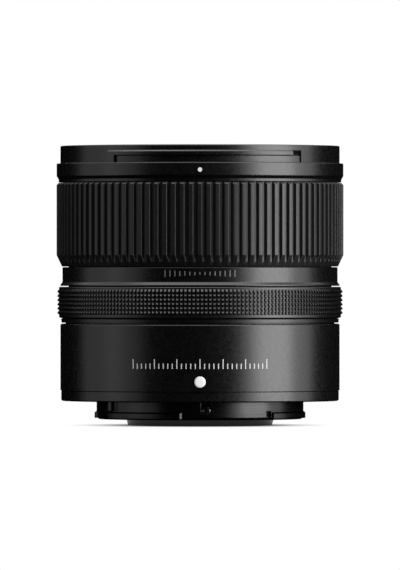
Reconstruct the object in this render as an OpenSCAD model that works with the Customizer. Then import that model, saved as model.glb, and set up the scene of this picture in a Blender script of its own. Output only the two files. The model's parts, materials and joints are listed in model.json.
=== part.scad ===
// Zoom lens with a powered zoom, standing on its rear end.
// Millimetres. Z is the optical axis with the front up, z = 0 is the seating face of the mount,
// and the index dots face -Y. A "view" angle is counted from -Y towards +X.

/* [Outer barrel] */
// Largest diameter, over the zoom ring and the front flange
body_d = 72; // [70:0.5:84]
// Height of the rear ring
rear_ring_h = 2.55; // [2.3:0.05:4]
// Height of the rear barrel
rear_barrel_h = 16.85; // [16.4:0.05:22]
// Height of the control ring
control_ring_h = 9.05; // [8.85:0.05:12]
// Height of the centre band
band_h = 4.7; // [3:0.1:8]
// Height of the zoom ring
zoom_ring_h = 20.95; // [20.4:0.05:28]
// Height of the front flange
front_flange_h = 4.72; // [4.3:0.02:7]
// Height of the hood tube
hood_tube_h = 4.4; // [4:0.1:7]
// Open slit between neighbouring rings
ring_slit = 0.16; // [0.12:0.02:0.5]
// Fine seam over the rear ring
seam = 0.12; // [0.05:0.01:0.3]
// Depth of the rings over the main barrel
ring_depth = 3; // [2.8:0.1:4]
// Step from the flange in to the hood tube and the rear barrel
barrel_inset = 0.96; // [0.5:0.02:1.3]
// Step from the flange in to the rear ring
rear_ring_inset = 1.16; // [0.6:0.02:1.6]
// Step from the flange in to the centre band
band_inset = 1.47; // [0.8:0.01:1.8]
// Step from the flange in to its skirt
skirt_inset = 0.52; // [0.3:0.02:1]
// Height of the skirt under the front flange
skirt_h = 0.7; // [0.3:0.1:1.2]
// Height of the chamfer between the skirt and the flange
flange_chamfer_h = 0.8; // [0.3:0.1:1.5]
// Small broken edges
edge = 0.3; // [0.1:0.05:0.5]
// Flare at the foot of the centre band
band_flare = 0.52; // [0.2:0.02:0.8]
// Height of that flare
band_flare_h = 1.1; // [0.5:0.1:1.5]

/* [Filter thread and hood bayonet] */
// Nominal diameter of the filter thread
filter_d = 67; // [62:0.5:67]
// Depth of the filter thread's profile
thread_depth = 0.4; // [0.3:0.05:0.6]
// Height of the front barrel's ledge above its flange step, counted down
ledge_drop = 0.6; // [0.4:0.1:1]
// Thickness of that ledge
ledge_t = 1.1; // [0.8:0.1:1.6]
// Width of that ledge inside the filter thread
ledge_w = 2.1; // [1.5:0.1:3]
// View angle where a hood rail starts
hood_from = -40.6; // [-50:0.2:-30]
// View angle where its entry notch ends
hood_to = 45.8; // [35:0.2:55]
// Height of the rail's top above the flange
hood_rail_h = 3; // [2:0.1:3.4]
// Height that the rail stands out from the hood tube
hood_rail_rise = 0.36; // [0.2:0.02:0.5]
// Height of the groove under the rail
hood_groove_h = 1.6; // [1:0.1:1.9]
// Depth of that groove in the hood tube
hood_groove_depth = 0.44; // [0.2:0.02:0.8]
// Width of the entry notch, in degrees
hood_notch = 5; // [3:0.2:8]
// Groove's inset from the start of the rail, in degrees
hood_groove_inset = 3.4; // [1:0.2:6]

/* [Zoom ring] */
// Number of ribs
rib_n = 102; // [60:1:120]
// Depth of the grooves between the ribs
rib_depth = 0.8; // [0.4:0.05:1]
// Width of a rib's land as a share of the pitch
rib_land = 0.45; // [0.4:0.01:0.5]
// Width of a rib's foot as a share of the pitch
rib_foot = 0.75; // [0.6:0.01:0.8]
// Height of the taper at the ring's foot
zoom_taper_h = 2.85; // [1.5:0.05:4]
// Depth of that taper
zoom_taper = 1.35; // [0.8:0.05:1.6]
// Chamfer round the ring's top
zoom_chamfer = 0.5; // [0.2:0.05:0.8]
// Height of the ring's bearing lands
zoom_land_h = 2.5; // [1.5:0.1:4]
// How far the ring turns to each side, in degrees
zoom_throw = 12; // [5:0.5:20]
// Half width of the ring's inner tab, in degrees
zoom_tab_half = 3; // [2:0.5:5]
// Height of that tab
zoom_tab_h = 2; // [1:0.1:3]

/* [Control ring] */
// Rows of knurling
knurl_rows = 6; // [4:1:6]
// Height of one knurl row
knurl_pitch = 1.06; // [0.8:0.02:1.1]
// Depth of the knurl's valleys
knurl_depth = 0.45; // [0.3:0.05:0.6]
// Knurl peaks inside the largest diameter
knurl_inset = 0.2; // [0.1:0.05:0.5]
// Smooth band and foot inside the largest diameter
control_inset = 0.57; // [0.4:0.01:0.9]
// Foot of the ring, below the step line
control_foot_h = 1.35; // [0.8:0.05:1.5]
// Depth of the step line at the foot
control_step = 0.4; // [0.2:0.05:0.6]
// Draft of the foot
control_draft = 0.25; // [0.1:0.05:0.4]
// Slits in the comb that the sensor reads
comb_n = 60; // [24:1:90]
// Height of that comb below the ring
comb_h = 4.55; // [4:0.05:5.2]
// Thickness of that comb
comb_t = 0.45; // [0.3:0.05:0.6]

/* [Mount] */
// Diameter of the bayonet's spigot
spigot_d = 51.94; // [50:0.02:53]
// Length of the spigot below the seating face
spigot_h = 4.5; // [4.2:0.1:6]
// Wall of the spigot
spigot_wall = 2; // [1.6:0.1:2.4]
// Height that the lugs stand out from the spigot
lug_rise = 0.5; // [0.3:0.05:0.9]
// Thickness of the lugs
lug_t = 1.6; // [1:0.1:2]
// Lugs' inset from the end of the spigot
lug_inset = 0.3; // [0.2:0.1:0.6]
// Depth of the slot and the notch in the spigot
spigot_cut = 0.9; // [0.5:0.05:1.2]
// Outer diameter of the seating face
seat_d = 63; // [61:0.5:64]
// Inner diameter of the seating face
seat_in_d = 54; // [54:0.5:56]
// Thickness of the mount's flange
mount_flange_h = 1.6; // [1.2:0.1:1.9]
// Number of mount screws
mount_screw_n = 4; // [3:1:6]
// Diameter of the circle of mount screws
mount_screw_circle = 58; // [57.5:0.5:58.5]
// Diameter of the mount screws
mount_screw_d = 2; // [1.6:0.1:2]
// Height of the bosses that the mount screws run into
boss_h = 2.95; // [2.6:0.05:4]
// Diameter of the mount index dot
dot_d = 2.8; // [2:0.1:3.5]
// Height of the dot above the seating face
dot_z = 5.15; // [4.5:0.05:10]
// Head diameter of the bayonet stop screw
stop_screw_d = 2.5; // [2:0.1:2.6]
// Height of that screw below the seating face
stop_screw_drop = 2.1; // [1.6:0.05:2.5]
// Outer diameter of the rear shroud's collar
collar_d = 37; // [35:0.5:38]
// Draft of that collar, on the radius
collar_draft = 0.4; // [0.1:0.05:0.6]
// Length of that collar beyond the spigot
collar_h = 1.6; // [1.2:0.1:4]
// Number of electrical contacts
contact_n = 11; // [6:1:12]
// Angle that the contacts span
contact_span = 66; // [50:1:72]

/* [Inner barrels] */
// Wall of the main barrel
main_wall = 1.2; // [1:0.1:1.4]
// Wall of the cam barrel
cam_wall = 1.5; // [1.2:0.1:1.7]
// Wall of the guide barrel
guide_wall = 1.3; // [1.1:0.1:1.5]
// Thickness of the guide barrel's flange
guide_flange_t = 1.2; // [1:0.1:1.6]
// Flange of the guide barrel below the rear barrel's top
guide_drop = 1.33; // [1:0.01:1.6]
// Turn of the cam barrel over the zoom, in degrees
cam_turn = 70; // [50:1:70]
// Travel of the front group over the zoom, rearwards
front_travel = 4; // [1:0.1:4.5]
// Travel of the second group over the zoom, forwards
second_travel = 5.5; // [2:0.1:6]
// Diameter of the follower pins
pin_d = 2.2; // [1.8:0.1:2.4]

/* [Zoom drive] */
// Diameter of the zoom motor
zoom_motor_d = 5; // [4.8:0.1:5.4]
// Module of the gears
gear_module = 0.4; // [0.4:0.01:0.42]
// Teeth on the pinions
pinion_teeth = 10; // [10:1:11]
// Width of the zoom gears
zoom_gear_w = 2; // [1.4:0.1:2.6]
// Zoom gears above the guide barrel's flange
zoom_gear_rise = 14.6; // [12.5:0.1:16]

/* [Iris] */
// Number of blades
blade_n = 7; // [5:1:7]
// Thickness of a blade
blade_t = 0.1; // [0.06:0.01:0.11]
// Radius of the full aperture, at the blades
aperture_r = 8.3; // [7.8:0.1:8.6]
// Width of a blade
blade_w = 4.6; // [4:0.1:4.7]
// Angle that a blade spans
blade_span = 100; // [85:1:110]
// Distance from a blade's edge to its pivot
pivot_gap = 1; // [0.9:0.05:1.1]
// Distance from a blade's pivot to its drive pin
drive_arm = 2.6; // [2.4:0.1:2.7]
// Turn of a blade from open to closed, in degrees
blade_turn = 28; // [15:1:30]

/* [Focus] */
// Travel of the focus group, forwards
focus_travel = 3; // [1:0.1:3.2]
// Diameter of the guide rods
rod_d = 1.6; // [1.2:0.1:2]
// Distance of the rods and the lead screw from the axis
rod_r = 26; // [24:0.5:26.5]
// Diameter of the lead screw
lead_screw_d = 1.5; // [1.2:0.1:1.8]
// Diameter of the focus motor
focus_motor_d = 7; // [6:0.1:7.4]
// Height of the focus motor
focus_motor_h = 3.8; // [3:0.1:4]

/* [Clearances] */
// Gap between two pieces of one body that fit together
fit = 0.03; // [0.01:0.01:0.05]
// Radial gap of a ring or a shaft that turns
run = 0.08; // [0.06:0.01:0.1]
// Gap between a barrel and what turns or slides in it
slide = 0.3; // [0.25:0.01:0.35]

/* [Hidden] */
$fn = 96;
// Sides of the large spheres that the lens faces are cut from
lens_fn = 480;
// Overshoot of a cutter past the face that it opens
over = 1;
body_r = body_d / 2;

// Heights of the outer pieces, from the mount up
z_rear0 = rear_ring_h + seam;
z_rear1 = z_rear0 + rear_barrel_h;
z_control0 = z_rear1 + ring_slit;
z_control1 = z_control0 + control_ring_h;
z_band0 = z_control1 + ring_slit;
z_band1 = z_band0 + band_h;
z_zoom0 = z_band1 + ring_slit;
z_zoom1 = z_zoom0 + zoom_ring_h;
z_front0 = z_zoom1 + ring_slit;
z_step = z_front0 + front_flange_h;
z_front1 = z_step + hood_tube_h;
z_ledge = z_step - ledge_drop;
z_main1 = z_ledge - ledge_t;

// Radii of the outer pieces
barrel_r = body_r - barrel_inset;
rear_ring_r = body_r - rear_ring_inset;
band_r = body_r - band_inset;
main_r = body_r - ring_depth;
main_in = main_r - main_wall;
filter_r = filter_d / 2 - thread_depth;
ledge_in = filter_r - ledge_w;
ring_in = main_r + run;
sleeve_in = main_r + fit;

// Radii of the inner barrels, from the motor's place in to the lens cells
pinion_r = gear_module * pinion_teeth / 2;
motor_place = main_in - slide - zoom_motor_d / 2;
cam_teeth = floor(2 * (motor_place - pinion_r) / gear_module);
cam_gear_r = cam_teeth * gear_module / 2;
zoom_motor_r = cam_gear_r + pinion_r;
cam_out = cam_gear_r - 2.5 * gear_module;
cam_in = cam_out - cam_wall;
cam_mid = (cam_out + cam_in) / 2;
guide_out = cam_in - slide;
guide_in = guide_out - guide_wall;
cell_r = guide_in - slide;
pin_r = pin_d / 2;
pin_end_r = cam_out - slide;

// Heights inside: rear frame, focus, guide barrel, second group and front group
z_frame0 = rear_ring_h + boss_h;
frame_t = 2;
z_frame1 = z_frame0 + frame_t;
z_guide0 = z_rear1 - guide_drop;
z_guide1 = z_guide0 + guide_flange_t;
z_second = z_guide0 + 0.4;
z_second_pin = z_second + 3.9;
z_iris = z_second + 6.8;
z_focus = z_frame1 + 2.3;
cell_top_drop = 2.4;
front_lens_rise = 1.6;
front_cell_h = 15.4;
front_pin_drop = 10.2;
z_cell1 = z_step - cell_top_drop;
z_lens1 = z_cell1 + front_lens_rise;
z_cell0 = z_cell1 - front_cell_h;
z_front_pin = z_cell1 - front_pin_drop;
z_cam0 = z_guide1 + slide + 0.2;
z_cam1 = z_front_pin + 5;
z_guide_top = z_cam1 + 2;
z_gear0 = z_guide1 + zoom_gear_rise;

// Angles of the pieces inside, about +Z from +X
zoom_motor_angle = -20;
zoom_tab_angle = 90;
front_pin_angle = 20;
second_pin_angle = 60;
iris_motor_angle = 0;
control_sensor_angle = 60;
rod_angles = [20, 200];
lead_screw_angle = 110;
follower_n = 3;

function view(a) = a - 90;
function polar_point(r, a) = [r * cos(a), r * sin(a)];
function sag(curve, r) = curve - sqrt(curve * curve - r * r);

// Optical design, front to rear: rim radius, front curve, back curve, front vertex, thickness,
// clear radius of a hollow front, clear radius of a hollow back. A hollow curve is negative.
front_rim_r = cell_r - 1.6;
second_rim_r = 9.2;
iris_lens_rim_r = 9.55;
focus_rim_r = 9;
rear_rim_r = 13;
LENSES = [
    [front_rim_r, 80, -26, z_lens1, 1.8, 0, 17],
    [16, 45, -16.5, z_lens1 - 5.4, 1.4, 0, 12],
    [11.6, -60, -40, z_lens1 - 13.53, 0.97, 11.6, 11],
    [11, 40, 200, z_lens1 - 14.52, 2.33, 0, 0],
    [iris_lens_rim_r, 26, 60, z_iris + 6.22, 3.58, 0, 0],
    [second_rim_r, 40, 50, z_iris + 0.65, 2.08, 0, 0],
    [second_rim_r, -50, -30, z_iris - 1.5, 0.9, 8.6, 8.4],
    [second_rim_r, -40, 28, z_iris - 4.9, 1.2, 8.4, 0],
    [focus_rim_r, 50, -35, z_focus + 2.87, 1.1, 0, 8.2],
    [rear_rim_r + 0.5, 70, -45, z_frame0 + 0.57, 1.3, 0, 12.5],
    [rear_rim_r, 60, -60, z_frame0 - 3.74, 1.5, 0, 12],
    [rear_rim_r, -45, 50, z_frame0 - 8.1, 1.7, 12, 0],
];
function lens_rim(n) = LENSES[n - 1][0];
function lens_front(n) = LENSES[n - 1][3];
function lens_back(n) = lens_front(n) - LENSES[n - 1][4];
function lens_top(n) = let (l = LENSES[n - 1]) l[1] > 0 ? l[3] : l[3] + sag(-l[1], l[5]);
function lens_bottom(n) = let (l = LENSES[n - 1]) l[2] > 0 ? lens_back(n) : lens_back(n) - sag(-l[2], l[6]);
function lens_front_at(n, r) = lens_front(n) - sag(LENSES[n - 1][1], r);
function lens_back_at(n, r) = lens_back(n) + sag(LENSES[n - 1][2], r);

// Involute gears: half angle of a tooth at a radius, and the outline of one tooth
pressure_angle = 25;
gear_addendum = 0.8 * gear_module;
gear_dedendum = 1.15 * gear_module;
gear_backlash = 0.06;
function involute(a) = tan(a) * 180 / PI - a;
function tooth_half(teeth, r) =
    let (pitch_r = teeth * gear_module / 2, base_r = pitch_r * cos(pressure_angle))
    90 / teeth - gear_backlash / pitch_r * 90 / PI + involute(pressure_angle)
    - involute(acos(min(1, base_r / max(r, base_r))));
function tooth_outline(teeth, a) =
    let (
        pitch_r = teeth * gear_module / 2,
        radii = [for (k = [0 : 3]) pitch_r - gear_dedendum + (gear_dedendum + gear_addendum) * k / 3]
    )
    concat(
        [for (r = radii) polar_point(r, a - tooth_half(teeth, r))],
        [for (k = [3 : -1 : 0]) polar_point(radii[k], a + tooth_half(teeth, radii[k]))]
    );
function gear_outline(teeth, first, last) =
    [for (i = [first : last]) each tooth_outline(teeth, i * 360 / teeth)];

// Zoom ring's ribs: the flanks run on past the largest diameter, so the lands stay round
rib_root_r = body_r - rib_depth;
rib_pitch = 360 / rib_n;
rib_outer_half = rib_pitch / 2 * (rib_land - (rib_foot - rib_land) * over / rib_depth);
function rib_outline() = [
    for (i = [0 : rib_n - 1])
        for (p = [[rib_root_r, -rib_foot * rib_pitch / 2], [body_r + over, -rib_outer_half],
                  [body_r + over, rib_outer_half], [rib_root_r, rib_foot * rib_pitch / 2]])
            polar_point(p[0], view(i * rib_pitch) + p[1])
];

// Iris: radii of the blades' pivots and drive pins, and the ring that drives them
blade_r = aperture_r + blade_w;
pivot_r = blade_r + pivot_gap;
drive_r = pivot_r + drive_arm;
pivot_pin_r = 0.5;
drive_pin_r = 0.4;
blade_pitch = blade_t + 0.06;
iris_plate_t = 0.9;
z_blades = z_iris + iris_plate_t + 0.06;
z_blades1 = z_blades + blade_n * blade_pitch;
iris_ring_t = 0.6;
z_iris_ring = z_blades1 + 0.12;
z_iris_cover = z_iris_ring + iris_ring_t + 0.15;
iris_cover_t = 0.6;
iris_slot_gap = 0.12;
iris_closed_r = norm([pivot_r + drive_arm * cos(blade_turn), drive_arm * sin(blade_turn)]);
iris_slot_from = iris_closed_r - drive_pin_r - iris_slot_gap;
iris_slot_to = drive_r + drive_pin_r + iris_slot_gap;
iris_ring_in = iris_slot_from - 0.8;
iris_teeth = ceil(2 * (iris_slot_to + 0.45 + gear_dedendum) / gear_module);
iris_gear_r = iris_teeth * gear_module / 2;
// The ring's rim stands a little above the teeth's roots, so each flank runs into it
iris_rim_r = iris_gear_r - gear_dedendum + 0.04;
iris_motor_r = iris_gear_r + pinion_r;
iris_motor_d = 4;
iris_post_r = 0.8;
iris_post_place = iris_gear_r + gear_addendum + slide + 0.08 + iris_post_r;
iris_plate_r = iris_post_place + iris_post_r + 0.2;
iris_ear_r = iris_motor_d / 2 + 0.4;
iris_lens_z = lens_back_at(5, iris_lens_rim_r);
iris_tube_wall = 1.4;

// Zoom mechanism's shafts and slots
shaft_r = 0.5;
shaft_depth = 2;
pin_slot_half = pin_r + 0.3;
pin_guide_half = pin_r + run;
// A straight cam slot bows off the true helix, and this factor spreads that evenly
cam_straight = 1.045;

// Mount
spigot_r = spigot_d / 2;
spigot_in = spigot_r - spigot_wall;
seat_r = seat_d / 2;
seat_in_r = seat_in_d / 2;
seat_relief = 0.3;
rear_ring_lift = 0.05;
mount_lip_h = 1;
mount_lip_w = 1.9;
mount_screw_place = mount_screw_circle / 2;
mount_screw_r = mount_screw_d / 2;
mount_head_r = 0.9 * mount_screw_d;
mount_head_h = 0.45 * mount_screw_d;
boss_r = mount_screw_r + 1.2;
mount_screw_angles = [for (i = [0 : mount_screw_n - 1]) view(45 + i * 360 / mount_screw_n)];
// Lugs and the slot, in view angles
LUGS = [[-61.5, -10], [43.2, 97], [133, 181], [-150, -82]];
spigot_slot = [-61.8, -52];
spigot_notch = [39.4, 43];
// Lead-in at the slot's first side: its angle and its depth
slot_lead = 1.7;
slot_lead_depth = 0.4;
stop_screw_view = 3.2;
lock_slot_view = 100;
collar_r = collar_d / 2;
z_collar = -spigot_h - collar_h;
collar_wall = 2.9;
shroud_lift = 0.2;
shroud_t = 0.8;
cup_wall = 0.9;
cup_r = spigot_in - 0.1;
contact_in = collar_r + 0.9;
contact_out = cup_r - cup_wall - 0.2;
contact_margin = 3;
contact_angle = view(180);
contact_r = 0.45;
frame_tube_r = collar_r - collar_wall - 0.6;
frame_tube_in = rear_rim_r + 0.05;
board_t = 0.8;
board_in = frame_tube_r + 4;

// Hood and ring details
hood_rail_r = barrel_r + hood_rail_rise;
hood_groove_r = barrel_r - hood_groove_depth;
z_hood_groove1 = z_step + hood_groove_h;
z_hood_rail1 = z_step + hood_rail_h;
name_in = cell_r + 0.6;
name_out = filter_r - 0.3;
name_t = 0.8;
// The thread starts above a run-out groove that clears the name ring
thread_runout = 0.2;
z_thread = z_ledge + name_t + thread_runout + thread_depth;
z_name_in = z_cell1 - 0.5;
zoom_relief = ring_in + 0.5;
zoom_tab_in = main_in - 1.2;
z_zoom_tab = z_zoom0 + zoom_ring_h / 2;
z_knurl0 = z_control1 - edge - 0.4 - knurl_rows * knurl_pitch;
comb_in = ring_in + 0.2;
pocket_in = comb_in + comb_t + slide;
z_pocket = z_control0 - comb_h - slide - 0.1;
dot_depth = 0.85;
dot_rise = 0.25;
main_ledge_w = 1.6;
lead_screw_r = lead_screw_d / 2;
focus_arm_w = 3.6;
focus_arm_t = 2;
z_focus_arm = z_focus + 2.2;
focus_boss_r = rod_d / 2 + 1.1;
z_focus_motor1 = z_frame1 + focus_motor_h;

// Shapes that repeat

module turned(points, from = 0, sweep = 360) {
    rotate([0, 0, from]) rotate_extrude(angle = sweep) polygon(points);
}

module tube(r_in, r_out, z0, z1) {
    turned([[r_in, z0], [r_out, z0], [r_out, z1], [r_in, z1]]);
}

module arc_block(r_in, r_out, z0, z1, from, to) {
    turned([[r_in, z0], [r_out, z0], [r_out, z1], [r_in, z1]], from, to - from);
}

module rod(r, z0, z1) {
    translate([0, 0, z0]) cylinder(r = r, h = z1 - z0);
}

module place(angle, r) {
    rotate([0, 0, angle]) translate([r, 0, 0]) children();
}

module spread(count, start = 0) {
    for (i = [0 : count - 1]) rotate([0, 0, start + i * 360 / count]) children();
}

module radial_rod(r, from, to, angle, z) {
    rotate([0, 0, angle]) translate([from, 0, z]) rotate([0, 90, 0]) cylinder(r = r, h = to - from);
}

module radial_slot(from, to, half_w, z0, z1) {
    translate([from, -half_w, z0]) cube([to - from, 2 * half_w, z1 - z0]);
}

// Pie of gear teeth from one tooth to another, to be bored by its user
module toothed_pie(teeth, first, last) {
    polygon(concat([[0, 0]], gear_outline(teeth, first, last)));
}

module pinion(z0, z1) {
    translate([0, 0, z0]) linear_extrude(z1 - z0) polygon(gear_outline(pinion_teeth, 0, pinion_teeth - 1));
}

// A lens face: the material stays inside a raised curve and outside a hollow one
module faced(vertex, curve, side) {
    if (curve > 0) intersection() {
        children();
        translate([0, 0, vertex - side * curve]) sphere(r = curve, $fn = lens_fn);
    }
    else difference() {
        children();
        translate([0, 0, vertex - side * curve]) sphere(r = -curve, $fn = lens_fn);
    }
}

module lens(n) {
    l = LENSES[n - 1];
    color("#6f86a8", 0.6)
        faced(l[3], l[1], 1) faced(lens_back(n), l[2], -1) rod(l[0], lens_bottom(n), lens_top(n));
}

// Outer pieces

module hood_rail() {
    turned([
        [hood_groove_r - edge, z_step - edge],
        [hood_rail_r, z_step - edge],
        [hood_rail_r, z_hood_rail1 - edge],
        [hood_rail_r - edge, z_hood_rail1],
        [hood_groove_r - edge, z_hood_rail1],
    ], view(hood_from), hood_to - 0.75 * hood_notch - hood_from);
}

// Groove that the hood turns in, and the notch in the rail where it enters, down a ramp
module hood_groove() {
    notch_lip = 0.05;
    arc_block(hood_groove_r, body_r + over, z_step, z_hood_groove1,
              view(hood_from + hood_groove_inset), view(hood_to - hood_notch / 2));
    turned([
        [hood_groove_r, z_step],
        [body_r + over, z_step],
        [body_r + over, z_hood_rail1],
        [barrel_r - notch_lip, z_hood_rail1],
        [hood_groove_r, z_hood_groove1],
    ], view(hood_to - hood_notch), hood_notch);
}

module front_barrel() {
    skirt_r = body_r - skirt_inset;
    color("#1d1d1f") difference() {
        union() {
            turned([
                [sleeve_in, z_front0],
                [skirt_r, z_front0],
                [skirt_r, z_front0 + skirt_h],
                [body_r, z_front0 + skirt_h + flange_chamfer_h],
                [body_r, z_step - edge],
                [body_r - edge, z_step],
                [barrel_r, z_step],
                [barrel_r, z_front1 - edge],
                [barrel_r - edge, z_front1],
                [filter_r + edge, z_front1],
                [filter_r, z_front1 - edge],
                [filter_r, z_thread],
                [filter_r + thread_depth, z_thread - thread_depth],
                [filter_r + thread_depth, z_ledge],
                [ledge_in, z_ledge],
                [ledge_in, z_main1],
                [sleeve_in, z_main1],
            ]);
            spread(2) hood_rail();
        }
        spread(2) hood_groove();
    }
}

module name_ring() {
    color("#141415") turned([
        [name_out, z_ledge],
        [name_out, z_ledge + name_t],
        [name_in, z_name_in + name_t],
        [name_in, z_name_in],
        [ledge_in - 0.1, z_ledge],
    ]);
}

module main_barrel() {
    window_half = zoom_throw + zoom_tab_half + 0.4;
    color("#101011") difference() {
        turned([
            [main_in, rear_ring_h],
            [main_r, rear_ring_h],
            [main_r, z_main1],
            [main_in, z_main1],
            [main_in, z_guide0],
            [main_in - main_ledge_w, z_guide0],
            [main_in - main_ledge_w, z_guide0 - main_ledge_w / 2],
            [main_in, z_guide0 - main_ledge_w],
        ]);
        arc_block(main_in - over, main_r + over, z_zoom_tab - slide, z_zoom_tab + zoom_tab_h + slide,
                  zoom_tab_angle - window_half, zoom_tab_angle + window_half);
        control_sensor_block(fit, over);
    }
}

module centre_band() {
    color("#1b1b1d") turned([
        [sleeve_in, z_band0],
        [band_r + band_flare, z_band0],
        [band_r + band_flare, z_band0 + edge],
        [band_r, z_band0 + band_flare_h],
        [band_r, z_band1 - edge],
        [band_r - edge, z_band1],
        [sleeve_in, z_band1],
    ]);
}

module rear_barrel() {
    color("#1d1d1f") difference() {
        turned([
            [sleeve_in, z_rear0],
            [barrel_r, z_rear0],
            [barrel_r, z_rear1 - edge],
            [barrel_r - edge, z_rear1],
            [pocket_in, z_rear1],
            [pocket_in, z_pocket],
            [sleeve_in, z_pocket],
        ]);
        radial_rod(dot_d / 2 + fit, barrel_r - dot_depth, body_r + over, view(0), dot_z);
    }
}

module mount_index_dot() {
    dome = 4;
    color("white") intersection() {
        radial_rod(dot_d / 2, barrel_r - dot_depth, body_r, view(0), dot_z);
        rotate([0, 0, view(0)]) translate([barrel_r + dot_rise - dome, 0, dot_z]) sphere(r = dome);
    }
}

module rear_ring() {
    web_in = spigot_in + 0.2;
    color("#1a1a1c") difference() {
        union() {
            turned([
                [seat_r + fit, rear_ring_lift],
                [rear_ring_r - edge, rear_ring_lift],
                [rear_ring_r, rear_ring_lift + edge],
                [rear_ring_r, rear_ring_h],
                [web_in, rear_ring_h],
                [web_in, mount_flange_h],
                [seat_r + fit, mount_flange_h],
            ]);
            for (a = mount_screw_angles) place(a, mount_screw_place) rod(boss_r, mount_flange_h, z_frame0);
        }
        for (a = mount_screw_angles)
            place(a, mount_screw_place) rod(mount_screw_r + fit, 0, z_frame0 + over);
    }
}

// Mount

module mount_screw(gap) {
    rod(mount_screw_r + gap, rear_ring_lift, z_frame0 + frame_t / 2 + gap);
    translate([0, 0, rear_ring_lift])
        cylinder(r1 = mount_head_r + gap, r2 = mount_screw_r + gap, h = mount_head_h + gap);
}

module mount_screws() {
    slot_w = 0.25 * mount_screw_d;
    color("#9a9a9c") for (a = mount_screw_angles) place(a, mount_screw_place) difference() {
        mount_screw(0);
        for (turn = [0, 90]) rotate([0, 0, turn])
            translate([-mount_head_r / 2, -slot_w / 2, 0]) cube([mount_head_r, slot_w, mount_head_h / 2]);
    }
}

// Lug with a broken upper edge and slanted ends, where the camera's claws slide over it
module bayonet_lug(from, to, z0, z1) {
    outer = spigot_r + lug_rise;
    break_h = 0.6 * lug_rise;
    difference() {
        turned([
            [spigot_r - spigot_wall / 2, z0],
            [outer, z0],
            [outer, z1 - break_h],
            [outer - break_h, z1],
            [spigot_r - spigot_wall / 2, z1],
        ], view(from), to - from);
        for (end = [from, to]) rotate([0, 0, view(end)]) translate([outer, 0, (z0 + z1) / 2])
            rotate([0, 0, 45]) cube([1.4 * lug_rise, 1.4 * lug_rise, z1 - z0 + over], center = true);
    }
}

// Slot that steps in on one side and slants in on the other
module spigot_slot_cut(z0, z1) {
    floor_r = spigot_r - spigot_cut;
    from = view(spigot_slot[0]);
    to = view(spigot_slot[1]);
    translate([0, 0, z0]) linear_extrude(z1 - z0) polygon([
        polar_point(spigot_r + over, from - slot_lead * over / slot_lead_depth),
        polar_point(spigot_r - slot_lead_depth, from + slot_lead),
        polar_point(floor_r, from + slot_lead),
        polar_point(floor_r, to),
        polar_point(spigot_r + over, to),
    ]);
}

module bayonet_mount() {
    lug_bottom = -spigot_h + lug_inset;
    lug_top = lug_bottom + lug_t;
    screw_bore = stop_screw_d / 2 + fit;
    color("#5c5c60") difference() {
        union() {
            turned([
                [spigot_in - mount_lip_w, mount_flange_h],
                [seat_r, mount_flange_h],
                [seat_r, 0],
                [seat_in_r, 0],
                [seat_in_r, seat_relief],
                [spigot_r, seat_relief],
                [spigot_r, -spigot_h + 2 * edge],
                [spigot_r - 2 * edge, -spigot_h],
                [spigot_in, -spigot_h],
                [spigot_in, mount_flange_h - mount_lip_h],
                [spigot_in - mount_lip_w, mount_flange_h - mount_lip_h],
            ]);
            for (lug = LUGS) bayonet_lug(lug[0], lug[1], lug_bottom, lug_top);
        }
        for (a = mount_screw_angles) place(a, mount_screw_place) {
            mount_screw(fit);
            rod(mount_head_r + fit, -over, rear_ring_lift);
        }
        spigot_slot_cut(lug_top + edge, 0);
        arc_block(spigot_r - spigot_cut, spigot_r + over, lug_bottom + lug_inset, lug_top + edge,
                  view(spigot_notch[0]), view(spigot_notch[1]));
        radial_rod(screw_bore, spigot_r - spigot_cut, spigot_r + over, view(stop_screw_view),
                   -stop_screw_drop);
        rotate([0, 0, view(stop_screw_view)])
            radial_slot(spigot_r - spigot_cut / 2, spigot_r + over, screw_bore, -stop_screw_drop, 0);
        place(view(lock_slot_view), mount_screw_place) rod(1.2, -over, mount_flange_h + over);
    }
}

module bayonet_stop_screw() {
    slot_w = 0.2 * stop_screw_d;
    color("#8a8a8e") difference() {
        radial_rod(stop_screw_d / 2, spigot_r - spigot_cut, spigot_r + 0.1, view(stop_screw_view),
                   -stop_screw_drop);
        rotate([0, 0, view(stop_screw_view)]) translate([spigot_r, 0, -stop_screw_drop])
            for (turn = [0, 90]) rotate([turn, 0, 0])
                cube([0.5, slot_w, 0.6 * stop_screw_d], center = true);
    }
}

module rear_shroud() {
    floor_z = -spigot_h + shroud_lift;
    window_half = contact_span / 2 + contact_margin + 0.3;
    color("#0d0d0e") difference() {
        turned([
            [collar_r - collar_wall, z_collar],
            [collar_r - collar_draft, z_collar],
            [collar_r, floor_z],
            [cup_r, floor_z],
            [cup_r, mount_flange_h - mount_lip_h],
            [cup_r - cup_wall, mount_flange_h - mount_lip_h],
            [cup_r - cup_wall, floor_z + shroud_t],
            [collar_r - collar_wall, floor_z + shroud_t],
        ]);
        arc_block(contact_in + 0.8, contact_out - 0.6, floor_z - over, floor_z + shroud_t + over,
                  contact_angle - window_half, contact_angle + window_half);
    }
}

module contact_pin_places() {
    for (i = [0 : contact_n - 1])
        place(contact_angle + contact_span * (i / (contact_n - 1) - 0.5), (contact_in + contact_out) / 2)
            children();
}

module contact_block() {
    floor_z = -spigot_h + shroud_lift;
    half = contact_span / 2 + contact_margin;
    color("#161617") difference() {
        union() {
            arc_block(contact_in, contact_out, floor_z + shroud_t, mount_flange_h - mount_lip_h - 0.2,
                      contact_angle - half - 2, contact_angle + half + 2);
            arc_block(contact_in + 0.9, contact_out - 0.7, floor_z - 0.1, floor_z + shroud_t,
                      contact_angle - half, contact_angle + half);
        }
        contact_pin_places() rod(contact_r + fit, floor_z - over, floor_z + shroud_t);
    }
}

module contact_pins() {
    floor_z = -spigot_h + shroud_lift;
    color("#c9a04a") contact_pin_places() rod(contact_r, floor_z - 0.4, floor_z + shroud_t - fit);
}

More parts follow.
